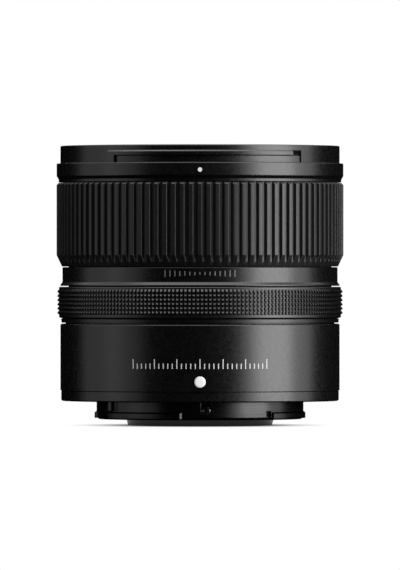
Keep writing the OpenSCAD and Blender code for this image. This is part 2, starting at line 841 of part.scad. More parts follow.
// Rear end: board, frame, focus drive

module main_board() {
    chips = [[150, 7, 5], [250, 5, 5], [300, 4, 6]];
    color("#1f4d33") union() {
        translate([0, 0, rear_ring_h]) linear_extrude(board_t) difference() {
            circle(r = main_in - 0.5);
            circle(r = board_in);
            for (a = mount_screw_angles) rotate(a) translate([mount_screw_place, 0]) circle(r = boss_r + slide);
            rotate(90) translate([0, -3]) square([body_r, 6]);
        }
        for (c = chips) place(c[0], (board_in + mount_screw_place) / 2)
            translate([-c[1] / 2, -c[2] / 2, rear_ring_h]) cube([c[1], c[2], board_t + 1]);
    }
}

module rear_frame() {
    seat_r = lens_rim(10) + fit;
    lip_r = rear_rim_r - 0.8;
    lip_z = lens_back_at(12, lip_r) - fit;
    z0 = -spigot_h + 0.6;
    window_in = frame_tube_r + 2;
    window_w = 5;
    window_half = 22;
    color("#151516") difference() {
        turned([
            [lip_r, z0],
            [frame_tube_r, z0],
            [frame_tube_r, z_frame0],
            [main_in - 0.1, z_frame0],
            [main_in - 0.1, z_frame1],
            [seat_r, z_frame1],
            [seat_r, lens_bottom(10)],
            [frame_tube_in, lens_bottom(10)],
            [frame_tube_in, lip_z],
            [lip_r, lip_z],
        ]);
        for (a = mount_screw_angles) place(a, mount_screw_place)
            rod(mount_screw_r + fit, z_frame0 - over, z_frame0 + frame_t / 2 + 2 * fit);
        for (a = rod_angles) place(a, rod_r) rod(rod_d / 2 + fit, z_frame1 - frame_t / 2, z_frame1 + over);
        for (a = [150, 240, 330])
            arc_block(window_in, window_in + window_w, z_frame0 - over, z_frame1 + over,
                      a - window_half, a + window_half);
    }
}

module focus_rods() {
    color("#b9bcc0") for (a = rod_angles) place(a, rod_r)
        rod(rod_d / 2, z_frame1 - frame_t / 2 + fit, z_guide1 - fit);
}

module focus_motor() {
    color("#8d9096") place(lead_screw_angle, rod_r) difference() {
        rod(focus_motor_d / 2, z_frame1, z_focus_motor1);
        rod(lead_screw_r / 2 + run, z_focus_motor1 - shaft_depth, z_focus_motor1 + over);
    }
}

module focus_screw() {
    color("#c9ccd0") place(lead_screw_angle, rod_r) {
        rod(lead_screw_r, z_focus_motor1 + 0.1, z_guide0 - 0.1);
        rod(lead_screw_r / 2, z_focus_motor1 - shaft_depth + 0.1, z_guide1 - 0.1);
    }
}

module focus_arm(angle, bore_r, z0, z1) {
    difference() {
        union() {
            rotate([0, 0, angle]) translate([focus_rim_r + 1, -focus_arm_w / 2, z_focus_arm])
                cube([rod_r - focus_rim_r - 1, focus_arm_w, focus_arm_t]);
            place(angle, rod_r) rod(focus_boss_r, z0, z1);
        }
        place(angle, rod_r) rod(bore_r, z0 - over, z1 + over);
    }
}

module focus_cell() {
    wall = 2.5;
    color("#1a1a1c") union() {
        turned([
            [focus_rim_r - 0.7, z_focus],
            [focus_rim_r + wall, z_focus],
            [focus_rim_r + wall, z_focus_arm + focus_arm_t],
            [focus_rim_r + fit, z_focus_arm + focus_arm_t],
            [focus_rim_r + fit, lens_bottom(9)],
            [focus_rim_r - 0.7, lens_bottom(9)],
        ]);
        for (a = rod_angles)
            focus_arm(a, rod_d / 2 + run, z_focus_arm - 1, z_focus_arm + focus_arm_t + 1);
        focus_arm(lead_screw_angle, lead_screw_r + run, z_focus_arm, z_focus_arm + focus_arm_t);
    }
}

// Zoom mechanism

module guide_barrel() {
    color("#2a2a2d") difference() {
        turned([
            [guide_in, z_guide0],
            [main_in - 0.1, z_guide0],
            [main_in - 0.1, z_guide1],
            [guide_out, z_guide1],
            [guide_out, z_guide_top],
            [guide_in, z_guide_top],
        ]);
        spread(follower_n, front_pin_angle)
            radial_slot(guide_in - over, guide_out + over, pin_guide_half,
                        z_front_pin - front_travel - pin_slot_half, z_front_pin + pin_slot_half);
        spread(follower_n, second_pin_angle)
            radial_slot(guide_in - over, guide_out + over, pin_guide_half,
                        z_second_pin - pin_slot_half, z_second_pin + second_travel + pin_slot_half);
        for (a = rod_angles) place(a, rod_r) rod(rod_d / 2 + fit, z_guide0 - over, z_guide1 + over);
        place(lead_screw_angle, rod_r) rod(lead_screw_r / 2 + run, z_guide0 - over, z_guide1 + over);
    }
}

// A cam slot for a follower that starts at one height and travels while the barrel turns
module cam_slot(z, travel) {
    reach = cam_out * sin(cam_turn / 2);
    tilt = atan(cam_straight * travel / (cam_turn * PI / 180) / cam_mid);
    depth = 2 * (cam_out + over - cam_in * cos(cam_turn / 2 + 5));
    rotate([0, 0, -cam_turn / 2]) translate([cam_out + over - depth / 2, 0, z + travel / 2]) rotate([-tilt, 0, 0]) {
        cube([depth, 2 * reach, 2 * pin_slot_half], center = true);
        for (side = [-1, 1]) translate([0, side * reach, 0])
            rotate([0, 90, 0]) cylinder(r = pin_slot_half, h = depth, center = true);
    }
}

module cam_barrel() {
    spare = 8;
    first = floor(-(cam_turn + spare) * cam_teeth / 360);
    last = ceil(spare * cam_teeth / 360);
    color("#8f949b") difference() {
        union() {
            rod(cam_out, z_cam0, z_cam1);
            translate([0, 0, z_gear0]) rotate([0, 0, zoom_motor_angle])
                linear_extrude(zoom_gear_w) toothed_pie(cam_teeth, first, last);
        }
        rod(cam_in, z_cam0 - over, z_cam1 + over);
        spread(follower_n, front_pin_angle) cam_slot(z_front_pin, -front_travel);
        spread(follower_n, second_pin_angle) cam_slot(z_second_pin, second_travel);
    }
}

module cam_retainer() {
    color("#3a3a3d") tube(guide_out + fit, cam_out, z_cam1 + slide, z_guide_top);
}

module zoom_motor() {
    top = z_gear0 - 1;
    color("#a8abb0") place(zoom_motor_angle, zoom_motor_r) difference() {
        rod(zoom_motor_d / 2, z_guide1, top);
        rod(shaft_r + run, top - shaft_depth, top + over);
    }
}

module zoom_pinion() {
    mesh = 180 - 180 / pinion_teeth;
    color("#c8b070") place(zoom_motor_angle, zoom_motor_r) rotate([0, 0, mesh]) {
        pinion(z_gear0 - 0.1, z_gear0 + zoom_gear_w + 0.1);
        rod(shaft_r, z_gear0 - 1 - shaft_depth + 0.1, z_gear0);
    }
}

module zoom_ring() {
    color("#19191a") union() {
        intersection() {
            turned([
                [ring_in, z_zoom0],
                [body_r - zoom_taper, z_zoom0],
                [body_r, z_zoom0 + zoom_taper_h],
                [body_r, z_zoom1 - zoom_chamfer],
                [body_r - zoom_chamfer, z_zoom1],
                [ring_in, z_zoom1],
                [ring_in, z_zoom1 - zoom_land_h],
                [zoom_relief, z_zoom1 - zoom_land_h],
                [zoom_relief, z_zoom0 + zoom_land_h],
                [ring_in, z_zoom0 + zoom_land_h],
            ]);
            translate([0, 0, z_zoom0 - over]) linear_extrude(zoom_ring_h + 2 * over) polygon(rib_outline());
        }
        arc_block(zoom_tab_in, zoom_relief + 0.5, z_zoom_tab, z_zoom_tab + zoom_tab_h,
                  zoom_tab_angle - zoom_tab_half, zoom_tab_angle + zoom_tab_half);
    }
}

module zoom_ring_sensor() {
    color("#24402f") arc_block(main_in - 2, main_in - fit, z_zoom_tab - slide - 3, z_zoom_tab - slide,
                               zoom_tab_angle - 8, zoom_tab_angle + 8);
}

module control_ring() {
    smooth_r = body_r - control_inset;
    peak_r = body_r - knurl_inset;
    foot_r = smooth_r - control_step;
    z_foot = z_control0 + control_foot_h;
    color("#19191a") difference() {
        union() {
            turned(concat(
                [
                    [ring_in, z_control0],
                    [foot_r - control_draft, z_control0],
                    [foot_r, z_foot - 0.2],
                    [foot_r, z_foot],
                    [smooth_r, z_foot + 0.15],
                ],
                [[smooth_r, z_knurl0]],
                [for (i = [0 : knurl_rows - 1]) each [
                    [peak_r - knurl_depth, z_knurl0 + i * knurl_pitch],
                    [peak_r, z_knurl0 + (i + 0.5) * knurl_pitch],
                ]],
                [
                    [peak_r - knurl_depth, z_knurl0 + knurl_rows * knurl_pitch],
                    [smooth_r, z_control1 - edge - 0.3],
                    [smooth_r, z_control1 - edge],
                    [smooth_r - edge, z_control1],
                    [ring_in, z_control1],
                ]
            ));
            tube(comb_in, comb_in + comb_t, z_control0 - comb_h, z_control0 + over);
        }
        translate([0, 0, z_control0 - comb_h - over]) linear_extrude(comb_h - 1.2 + over) spread(comb_n)
            translate([comb_in - 0.1, -0.6]) square([comb_t + 0.2, 1.2]);
    }
}

module control_sensor_block(gap, outside) {
    z0 = z_control0 - comb_h - 1.6;
    half = 6 + gap;
    arc_block(main_in - 1.4, main_r - 0.05 + outside, z0 - gap, z0 + 3 + gap,
              control_sensor_angle - half, control_sensor_angle + half);
}

module control_ring_sensor() {
    color("#24402f") control_sensor_block(0, 0);
}

// Front group

module front_cell() {
    neck_r = 17.5;
    neck_h = 3.2;
    bore_1 = lens_rim(1) + fit;
    bore_2 = lens_rim(2) + fit;
    bore_3 = lens_rim(3) + fit;
    hole = lens_rim(4) + 0.1;
    color("#17171a") difference() {
        turned([
            [hole, z_cell0],
            [neck_r, z_cell0],
            [neck_r, z_cell0 + neck_h],
            [cell_r, z_cell0 + neck_h],
            [cell_r, z_cell1],
            [bore_1, z_cell1],
            [bore_1, lens_bottom(1)],
            [bore_2, lens_bottom(1)],
            [bore_2, lens_bottom(2)],
            [bore_3, lens_bottom(2)],
            [bore_3, lens_bottom(3)],
            [hole, lens_bottom(3)],
        ]);
        spread(follower_n, front_pin_angle) radial_rod(pin_r + fit, cell_r - 3, cell_r + over, 0, z_front_pin);
    }
}

module front_retainer() {
    inner = lens_rim(1) - 0.7;
    color("#101012") tube(inner, lens_rim(1), lens_front_at(1, inner) + fit, z_cell1);
}

module front_followers() {
    color("#d7d9db") spread(follower_n, front_pin_angle)
        radial_rod(pin_r, cell_r - 3 + fit, pin_end_r, 0, z_front_pin);
}

// Second group and iris

module second_cell() {
    tube_r = second_rim_r + 1.6;
    bore = second_rim_r + fit;
    shoulder = LENSES[6][6];
    disc_t = 3;
    z_disc = z_second_pin - disc_t / 2;
    color("#17171a") difference() {
        turned([
            [bore, z_second],
            [tube_r, z_second],
            [tube_r, z_disc],
            [cell_r, z_disc],
            [cell_r, z_disc + disc_t],
            [tube_r, z_disc + disc_t],
            [tube_r, z_iris],
            [bore, z_iris],
            [bore, lens_bottom(7)],
            [shoulder, lens_bottom(7)],
            [shoulder, lens_top(8)],
            [bore, lens_top(8)],
        ]);
        place(iris_motor_angle, iris_motor_r) rod(iris_motor_d / 2 + 0.15, z_disc - over, z_disc + disc_t + over);
        spread(follower_n, second_pin_angle)
            radial_rod(pin_r + fit, cell_r - 3, cell_r + over, 0, z_second_pin);
        spread(follower_n, second_pin_angle + 180 / follower_n + 20)
            place(0, (tube_r + cell_r) / 2) rod(3, z_disc - over, z_disc + disc_t + over);
    }
}

module second_followers() {
    color("#d7d9db") spread(follower_n, second_pin_angle)
        radial_rod(pin_r, cell_r - 3 + fit, pin_end_r, 0, z_second_pin);
}

module iris_plate(t, hole) {
    linear_extrude(t) difference() {
        union() {
            circle(r = iris_plate_r);
            rotate(iris_motor_angle) translate([iris_motor_r, 0]) circle(r = iris_ear_r);
        }
        circle(r = hole);
        rotate(iris_motor_angle) translate([iris_motor_r, 0]) circle(r = shaft_r + run);
    }
}

module iris_base() {
    color("#202023") union() {
        translate([0, 0, z_iris]) iris_plate(iris_plate_t, aperture_r - 0.1);
        spread(blade_n) place(0, pivot_r) rod(pivot_pin_r, z_iris, z_blades1);
        spread(3, iris_motor_angle + 60) place(0, iris_post_place) rod(iris_post_r, z_iris, z_iris_cover);
    }
}

module iris_blade(i) {
    z = z_blades + (i - 1) * blade_pitch;
    arm_w = 2 * pivot_pin_r + 0.8;
    color("#3b3b3e") rotate([0, 0, (i - 1) * 360 / blade_n]) {
        difference() {
            union() {
                arc_block(aperture_r, blade_r, z, z + blade_t, -4, blade_span);
                translate([blade_r - 1, -arm_w / 2, z]) cube([drive_r - blade_r + 1, arm_w, blade_t]);
                place(0, pivot_r) rod(pivot_pin_r + 0.7, z, z + blade_t);
                place(0, drive_r) rod(arm_w / 2, z, z + blade_t);
            }
            place(0, pivot_r) rod(pivot_pin_r + 0.05, z - over, z + over);
        }
        place(0, drive_r) rod(drive_pin_r, z, z_iris_ring + iris_ring_t - 0.05);
    }
}

module iris_ring() {
    last = ceil(12 * iris_teeth / 360);
    color("#515156") translate([0, 0, z_iris_ring]) linear_extrude(iris_ring_t) difference() {
        union() {
            circle(r = iris_rim_r);
            rotate(iris_motor_angle) toothed_pie(iris_teeth, -last, last);
        }
        circle(r = iris_ring_in);
        spread(blade_n) translate([iris_slot_from, -drive_pin_r - iris_slot_gap])
            square([iris_slot_to - iris_slot_from, 2 * (drive_pin_r + iris_slot_gap)]);
    }
}

module iris_cover() {
    tube_in = iris_lens_rim_r + fit;
    lip_r = iris_lens_rim_r - 0.65;
    lip_z = lens_back_at(5, lip_r) - fit;
    tube_h = 2.15;
    collar_out = iris_ring_in - run;
    color("#202023") union() {
        turned([
            [lip_r, z_iris_cover],
            [iris_plate_r, z_iris_cover],
            [iris_plate_r, z_iris_cover + iris_cover_t],
            [tube_in + iris_tube_wall, z_iris_cover + iris_cover_t],
            [tube_in + iris_tube_wall, z_iris_cover + tube_h],
            [tube_in, z_iris_cover + tube_h],
            [tube_in, lip_z],
            [lip_r, lip_z],
        ]);
        tube(collar_out - 0.6, collar_out, z_iris_ring, z_iris_cover);
    }
}

module iris_motor() {
    color("#a8abb0") place(iris_motor_angle, iris_motor_r) difference() {
        rod(iris_motor_d / 2, z_iris - 5.9, z_iris);
        rod(shaft_r + run, z_iris - shaft_depth, z_iris + over);
    }
}

module iris_pinion() {
    mesh = 180 - 180 / pinion_teeth;
    color("#c8b070") place(iris_motor_angle, iris_motor_r) rotate([0, 0, mesh]) {
        pinion(z_iris_ring - 0.02, z_iris_ring + iris_ring_t + 0.05);
        rod(shaft_r, z_iris - shaft_depth + 0.1, z_iris_ring);
    }
}

front_barrel();
name_ring();
main_barrel();
centre_band();
rear_barrel();
rear_ring();
bayonet_mount();
mount_screws();
bayonet_stop_screw();
mount_index_dot();
rear_shroud();
contact_block();
contact_pins();
main_board();
rear_frame();
guide_barrel();
cam_barrel();
cam_retainer();
zoom_motor();
zoom_pinion();
zoom_ring();
zoom_ring_sensor();
control_ring();
control_ring_sensor();
front_cell();
front_retainer();
front_followers();
second_cell();
second_followers();
iris_base();
iris_ring();
iris_cover();
iris_motor();
iris_pinion();
focus_cell();
focus_rods();
focus_motor();
focus_screw();
for (i = [1 : blade_n]) iris_blade(i);
for (i = [1 : len(LENSES)]) lens(i);
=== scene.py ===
"""Looks, light and camera for the zoom lens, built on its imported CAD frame.

Sizes are written in millimetres and angles in degrees, and everything is placed in metres.
Z is the optical axis with the front up, and the index dots face -Y.
A view angle is counted from -Y towards +X.
"""
import json
import math

import bmesh
import bpy
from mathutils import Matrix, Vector

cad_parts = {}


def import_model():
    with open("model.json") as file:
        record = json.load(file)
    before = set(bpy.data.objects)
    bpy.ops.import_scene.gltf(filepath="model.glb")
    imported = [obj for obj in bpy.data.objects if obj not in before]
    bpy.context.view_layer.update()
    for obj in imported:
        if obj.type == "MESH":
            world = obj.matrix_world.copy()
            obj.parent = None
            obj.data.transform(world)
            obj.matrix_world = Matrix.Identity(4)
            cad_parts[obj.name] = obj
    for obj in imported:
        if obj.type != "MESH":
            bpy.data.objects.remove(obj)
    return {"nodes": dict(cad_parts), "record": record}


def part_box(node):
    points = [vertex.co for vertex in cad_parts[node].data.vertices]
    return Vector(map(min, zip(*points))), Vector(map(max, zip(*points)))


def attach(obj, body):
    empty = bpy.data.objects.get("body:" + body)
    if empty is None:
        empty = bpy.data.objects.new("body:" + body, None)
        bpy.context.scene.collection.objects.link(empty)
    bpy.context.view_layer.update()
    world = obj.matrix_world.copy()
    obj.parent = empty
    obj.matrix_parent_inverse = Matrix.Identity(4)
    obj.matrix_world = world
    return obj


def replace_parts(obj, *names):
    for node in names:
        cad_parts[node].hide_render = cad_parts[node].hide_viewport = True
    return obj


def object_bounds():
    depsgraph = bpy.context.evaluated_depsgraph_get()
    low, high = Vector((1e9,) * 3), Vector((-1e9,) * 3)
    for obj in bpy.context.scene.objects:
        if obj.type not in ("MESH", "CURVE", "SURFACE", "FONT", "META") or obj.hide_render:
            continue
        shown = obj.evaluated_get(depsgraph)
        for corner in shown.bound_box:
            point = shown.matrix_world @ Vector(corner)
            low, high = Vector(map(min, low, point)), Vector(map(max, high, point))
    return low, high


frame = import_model()
cad_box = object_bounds()
NODES = frame["nodes"]
MM = 0.001


# Places from the frame

def box_of(node):
    """Lowest and highest corner of a node."""
    low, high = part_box(node)
    return low / MM, high / MM


def height_span(node):
    """Lowest and highest point of a node."""
    low, high = box_of(node)
    return low.z, high.z


# Radii that several pieces share

BODY_R = box_of("front_barrel")[1].x
FLANGE_R = BODY_R - 0.015
BARREL_R = BODY_R - 0.96
BAND_R = BODY_R - 1.47
SLEEVE_R = BODY_R - 2.97
RING_BORE = SLEEVE_R + 0.05


# Mesh helpers

def on_view(radius, angle, height):
    """Point in metres at a view angle, from its distance to the optical axis and its height."""
    a = math.radians(angle)
    return Vector((radius * math.sin(a), -radius * math.cos(a), height)) * MM


def all_round(count):
    """Evenly spaced angles of a full turn."""
    return [i * 360 / count for i in range(count)]


def circle(radius, count):
    """Points across and up on a circle, starting at its top."""
    turns = [math.radians(angle) for angle in all_round(count)]
    return [(radius * math.sin(a), radius * math.cos(a)) for a in turns]


def profile_row(bm, profile, angle):
    """Points of a profile of radii and heights, at a view angle."""
    return [bm.verts.new(on_view(radius, angle, height)) for radius, height in profile]


def repeated_rows(bm, count, section, profile_at):
    """Rows of points all round, for a section given as shares of its pitch and of its height."""
    rows = []
    for i in range(count):
        for share, height in section:
            rows.append(profile_row(bm, profile_at(height), (i + share) * 360 / count))
    return rows


def strip(bm, row, after, closed=True):
    """Fills the space between two rows of points with faces."""
    for k in range(0 if closed else 1, len(row)):
        bm.faces.new((row[k - 1], after[k - 1], after[k], row[k]))


def ridged_strip(bm, row, after):
    """Fills the space between two closed rows with triangles that keep the outer ridges sharp."""
    for k in range(len(row)):
        corners = (row[k - 1], after[k - 1], after[k], row[k])
        reach = [corner.co.xy.length for corner in corners]
        if reach[0] + reach[2] < reach[1] + reach[3]:
            corners = corners[1:] + corners[:1]
        a, b, c, d = corners
        bm.faces.new((a, b, c))
        bm.faces.new((a, c, d))


def loft(bm, rows, fill=strip):
    """Joins closed rows of points all round the axis."""
    for i, row in enumerate(rows):
        fill(bm, row, rows[(i + 1) % len(rows)])


def spin(bm, rows):
    """Joins open rows of points all round an axis."""
    for i, row in enumerate(rows):
        strip(bm, rows[i - 1], row, closed=False)


def sweep(bm, rows):
    """Joins closed rows of points one after another and caps both ends."""
    for row, after in zip(rows, rows[1:]):
        strip(bm, row, after)
    bm.faces.new(rows[0])
    bm.faces.new(rows[-1][::-1])


def arc_block(bm, inner, outer, bottom, top, start, end, steps):
    """Adds a block bounded by two radii, two heights and two view angles."""
    section = ((inner, bottom), (outer, bottom), (outer, top), (inner, top))
    angles = [start + (end - start) * i / steps for i in range(steps + 1)]
    sweep(bm, [profile_row(bm, section, angle) for angle in angles])


def softened(profile, steps=4):
    """Profile with rounded corners: each point is a radius, a height and the reach of its rounding."""
    points = []
    for k, (radius, height, reach) in enumerate(profile):
        corner = Vector((radius, height))
        if not reach:
            points.append(corner)
            continue
        before = Vector(profile[k - 1][:2]) - corner
        after = Vector(profile[(k + 1) % len(profile)][:2]) - corner
        start = corner + before.normalized() * reach
        end = corner + after.normalized() * reach
        for i in range(steps + 1):
            s = i / steps
            points.append(start * (1 - s) ** 2 + corner * 2 * s * (1 - s) + end * s ** 2)
    return points


def finish_mesh(bm, name, body, material, sharp=30):
    """Makes an object of the mesh that rides on a body."""
    bmesh.ops.recalc_face_normals(bm, faces=bm.faces)
    mesh = bpy.data.meshes.new(name)
    bm.to_mesh(mesh)
    bm.free()
    mesh.shade_smooth()
    mesh.set_sharp_from_angle(angle=math.radians(sharp))
    mesh.materials.append(material)
    piece = bpy.data.objects.new(name, mesh)
    bpy.context.scene.collection.objects.link(piece)
    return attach(piece, body)


def even_shading(piece):
    """Lets large faces keep flat shading beside their rounded edges."""
    modifier = piece.modifiers.new("even_shading", "WEIGHTED_NORMAL")
    modifier.keep_sharp = True
    return piece


# Materials: texture scales are features per metre

BLACK = (0.001, 0.001, 0.00105)
BLACK_GLOSS = 0.6
GRIP_GLOSS = 0.52
NOISE_LOW = 0.3
NOISE_HIGH = 0.7
BEVEL_SAMPLES = 8
GLASS_IOR = 1.52
COATING_NM = 115
COATING_IOR = 1.25


class Surface:
    """A material under construction: one principled shader and its textures."""

    def __init__(self, name, color, roughness, metallic=0.0, gloss=0.5):
        self.material = bpy.data.materials.new(name)
        self.material.use_nodes = True
        self.nodes = self.material.node_tree.nodes
        self.links = self.material.node_tree.links
        self.shader = self.nodes["Principled BSDF"]
        self.color = color
        self.roughness = roughness
        self.shader.inputs["Base Color"].default_value = (*color, 1)
        self.shader.inputs["Roughness"].default_value = roughness
        self.shader.inputs["Metallic"].default_value = metallic
        self.shader.inputs["Specular IOR Level"].default_value = gloss
        self.place = self.nodes.new("ShaderNodeTexCoord").outputs["Object"]

    def noise(self, scale, detail=2, stretch=None):
        """Noise over the object's place, with features of about 1 / scale."""
        texture = self.nodes.new("ShaderNodeTexNoise")
        texture.inputs["Scale"].default_value = scale
        texture.inputs["Detail"].default_value = detail
        place = self.place
        if stretch:
            mapping = self.nodes.new("ShaderNodeMapping")
            mapping.inputs["Scale"].default_value = stretch
            self.links.new(place, mapping.inputs["Vector"])
            place = mapping.outputs["Vector"]
        self.links.new(place, texture.inputs["Vector"])
        return texture.outputs["Fac"]

    def rings(self, scale):
        """Noise that depends only on height and distance from the axis, as turning leaves it."""
        split = self.nodes.new("ShaderNodeSeparateXYZ")
        self.links.new(self.place, split.inputs["Vector"])
        reach = self.nodes.new("ShaderNodeVectorMath")
        reach.operation = "LENGTH"
        flat = self.nodes.new("ShaderNodeCombineXYZ")
        self.links.new(split.outputs["X"], flat.inputs["X"])
        self.links.new(split.outputs["Y"], flat.inputs["Y"])
        self.links.new(flat.outputs["Vector"], reach.inputs[0])
        turned = self.nodes.new("ShaderNodeCombineXYZ")
        self.links.new(reach.outputs["Value"], turned.inputs["X"])
        self.links.new(split.outputs["Z"], turned.inputs["Z"])
        texture = self.nodes.new("ShaderNodeTexNoise")
        texture.inputs["Scale"].default_value = scale
        self.links.new(turned.outputs["Vector"], texture.inputs["Vector"])
        return texture.outputs["Fac"]

    def vary(self, fac, low, high):
        """Spreads a texture between two values."""
        spread = self.nodes.new("ShaderNodeMapRange")
        spread.inputs["From Min"].default_value = NOISE_LOW
        spread.inputs["From Max"].default_value = NOISE_HIGH
        spread.inputs["To Min"].default_value = low
        spread.inputs["To Max"].default_value = high
        self.links.new(fac, spread.inputs["Value"])
        return spread.outputs["Result"]

    def rough_by(self, fac, spread):
        """Varies the roughness by a texture."""
        value = self.vary(fac, self.roughness - spread, self.roughness + spread)
        self.links.new(value, self.shader.inputs["Roughness"])

    def color_by(self, fac, other):
        """Mixes the base colour with another one by a texture."""
        mix = self.nodes.new("ShaderNodeMix")
        mix.data_type = "RGBA"
        mix.inputs["A"].default_value = (*self.color, 1)
        mix.inputs["B"].default_value = (*other, 1)
        self.links.new(self.vary(fac, 0.0, 1.0), mix.inputs["Factor"])
        self.links.new(mix.outputs["Result"], self.shader.inputs["Base Color"])

    def bump_by(self, fac, height, edge=0):
        """Raises the surface by a texture, up to a height, and rounds its edges by a radius."""
        bump = self.nodes.new("ShaderNodeBump")
        bump.inputs["Distance"].default_value = height * MM
        self.links.new(fac, bump.inputs["Height"])
        self.links.new(bump.outputs["Normal"], self.shader.inputs["Normal"])
        if edge:
            bevel = self.nodes.new("ShaderNodeBevel")
            bevel.samples = BEVEL_SAMPLES
            bevel.inputs["Radius"].default_value = edge * MM
            self.links.new(bevel.outputs["Normal"], bump.inputs["Normal"])


def moulded(name, color, roughness, grain=0.006, fine=5200, gloss=BLACK_GLOSS):
    """Black moulded plastic with a fine eroded grain."""
    s = Surface(name, color, roughness, gloss=gloss)
    s.rough_by(s.noise(900, detail=3), 0.03)
    s.color_by(s.noise(350), tuple(c * 1.5 for c in color))
    s.bump_by(s.noise(fine), grain)
    return s.material


def satin_shell():
    """Satin black of the fixed shells."""
    return moulded("satin_shell", BLACK, 0.28)


def matte_grip():
    """Matte black of the ribbed zoom ring."""
    return moulded("matte_grip", (0.0025, 0.0025, 0.0026), 0.4, grain=0.008, gloss=GRIP_GLOSS)


def knurl_grip():
    """Black of the knurled ring, with little grain on its small teeth."""
    return moulded("knurl_grip", BLACK, 0.32, grain=0.004)


def matte_inner():
    """Dull black of the parts inside."""
    return moulded("matte_inner", (0.003, 0.003, 0.0032), 0.6, grain=0.012, fine=3800)


def turned_mount():
    """Satin dark mount with fine turning lines."""
    s = Surface("turned_mount", BLACK, 0.27, gloss=BLACK_GLOSS)
    lines = s.rings(9000)
    s.rough_by(lines, 0.04)
    s.color_by(lines, (0.002, 0.002, 0.0021))
    s.bump_by(lines, 0.003, edge=0.15)
    return s.material


def anodised():
    """Grey anodised aluminium with turning lines."""
    s = Surface("anodised", (0.22, 0.225, 0.235), 0.34, metallic=1.0)
    lines = s.rings(5000)
    s.rough_by(lines, 0.08)
    s.color_by(s.noise(260, detail=3), (0.27, 0.275, 0.285))
    s.bump_by(lines, 0.003)
    return s.material


def brushed_steel():
    """Bright steel with fine scratches along the axis."""
    s = Surface("brushed_steel", (0.55, 0.55, 0.56), 0.28, metallic=1.0)
    scratches = s.noise(1800, detail=4, stretch=(8, 8, 0.4))
    s.rough_by(scratches, 0.08)
    s.color_by(s.noise(300), (0.48, 0.48, 0.5))
    s.bump_by(scratches, 0.003)
    return s.material


def gold_plate():
    """Gold plating over brass, slightly uneven."""
    s = Surface("gold_plate", (0.83, 0.62, 0.27), 0.24, metallic=1.0)
    s.rough_by(s.noise(2400), 0.06)
    s.color_by(s.noise(500), (0.74, 0.53, 0.21))
    s.bump_by(s.noise(5000), 0.002)
    return s.material


def blackened_steel():
    """Thin blackened steel with a faint oily sheen."""
    s = Surface("blackened_steel", (0.035, 0.036, 0.04), 0.38, metallic=1.0)
    s.rough_by(s.noise(1500, detail=3), 0.07)
    s.color_by(s.noise(280), (0.055, 0.056, 0.062))
    s.bump_by(s.noise(6000), 0.002)
    return s.material


def screw_steel():
    """Dark nickel on a machined screw head."""
    s = Surface("screw_steel", (0.22, 0.22, 0.225), 0.3, metallic=1.0)
    s.rough_by(s.noise(2500, detail=3), 0.06)
    s.color_by(s.noise(900), (0.15, 0.15, 0.155))
    s.bump_by(s.noise(6000), 0.002)
    return s.material


def circuit_board():
    """Green lacquer over raised tracks."""
    s = Surface("circuit_board", (0.02, 0.11, 0.05), 0.32)
    tracks = s.nodes.new("ShaderNodeTexVoronoi")
    tracks.distance = "MANHATTAN"
    tracks.inputs["Scale"].default_value = 620
    s.links.new(s.place, tracks.inputs["Vector"])
    s.color_by(tracks.outputs["Distance"], (0.035, 0.17, 0.075))
    s.rough_by(s.noise(1200), 0.05)
    s.bump_by(tracks.outputs["Distance"], 0.01)
    return s.material


def white_paint():
    """White lacquer, slightly greyer where it is thin."""
    s = Surface("white_paint", (0.86, 0.86, 0.86), 0.34)
    s.color_by(s.noise(1500), (0.8, 0.8, 0.81))
    s.rough_by(s.noise(2500), 0.05)
    s.bump_by(s.noise(4000), 0.004)
    return s.material


def printing_ink(name, color, thin):
    """Printing ink, a little darker where it is thin."""
    s = Surface(name, color, 0.5)
    s.color_by(s.noise(3000), thin)
    s.rough_by(s.noise(3000), 0.05)
    return s.material


def grey_print():
    """Grey ink of the ticks on the centre band."""
    return printing_ink("grey_print", (0.2, 0.2, 0.205), (0.15, 0.15, 0.155))


def white_print():
    """White ink of the graduations on the rear barrel."""
    return printing_ink("white_print", (0.72, 0.72, 0.73), (0.62, 0.62, 0.63))


def coated_glass():
    """Clear optical glass with a quarter-wave coating, which leaves faint purple reflections."""
    s = Surface("coated_glass", (0.97, 0.985, 0.99), 0.015)
    s.shader.inputs["Transmission Weight"].default_value = 1.0
    s.shader.inputs["IOR"].default_value = GLASS_IOR
    s.shader.inputs["Thin Film Thickness"].default_value = COATING_NM
    s.shader.inputs["Thin Film IOR"].default_value = COATING_IOR
    s.rough_by(s.noise(90), 0.01)
    return s.material


def dress_nodes():
    """Gives each CAD node the finish of its slot in the record, apart from four that look different."""
    finishes = {
        "shell": satin_shell(),
        "grip": matte_grip(),
        "mount": turned_mount(),
        "inner": matte_inner(),
        "cam_metal": anodised(),
        "steel": brushed_steel(),
        "white": white_paint(),
        "gold": gold_plate(),
        "board": circuit_board(),
        "blade": blackened_steel(),
        "glass": coated_glass(),
    }
    for part in frame["record"]["subparts"]:
        NODES[part["node"]].material_slots[0].material = finishes[part["material_slot"]]
    for name in ("contact_block", "rear_frame", "name_ring"):
        NODES[name].material_slots[0].material = finishes["inner"]
    NODES["rear_shroud"].material_slots[0].material = finishes["shell"]
    return finishes


# Fixed shells

SIDES = 288
# Reach of a rounded corner
SHARP = 0
CRISP = 0.05
FINE = 0.1
EASED = 0.15
ROUND = 0.3

POCKET_R = BARREL_R - 1.01
POCKET_DEPTH = 4.79
BARREL_TOP_ROUND = 0.45
# How far the rear barrel stays under its CAD top, which opens the slit above it
SLIT_EASE = 0.12

FLARE_R = BODY_R - 0.95
FLARE_H = 0.25
FLARE_SLOPE_H = 0.7
FLARE_FOOT_ROUND = 0.08


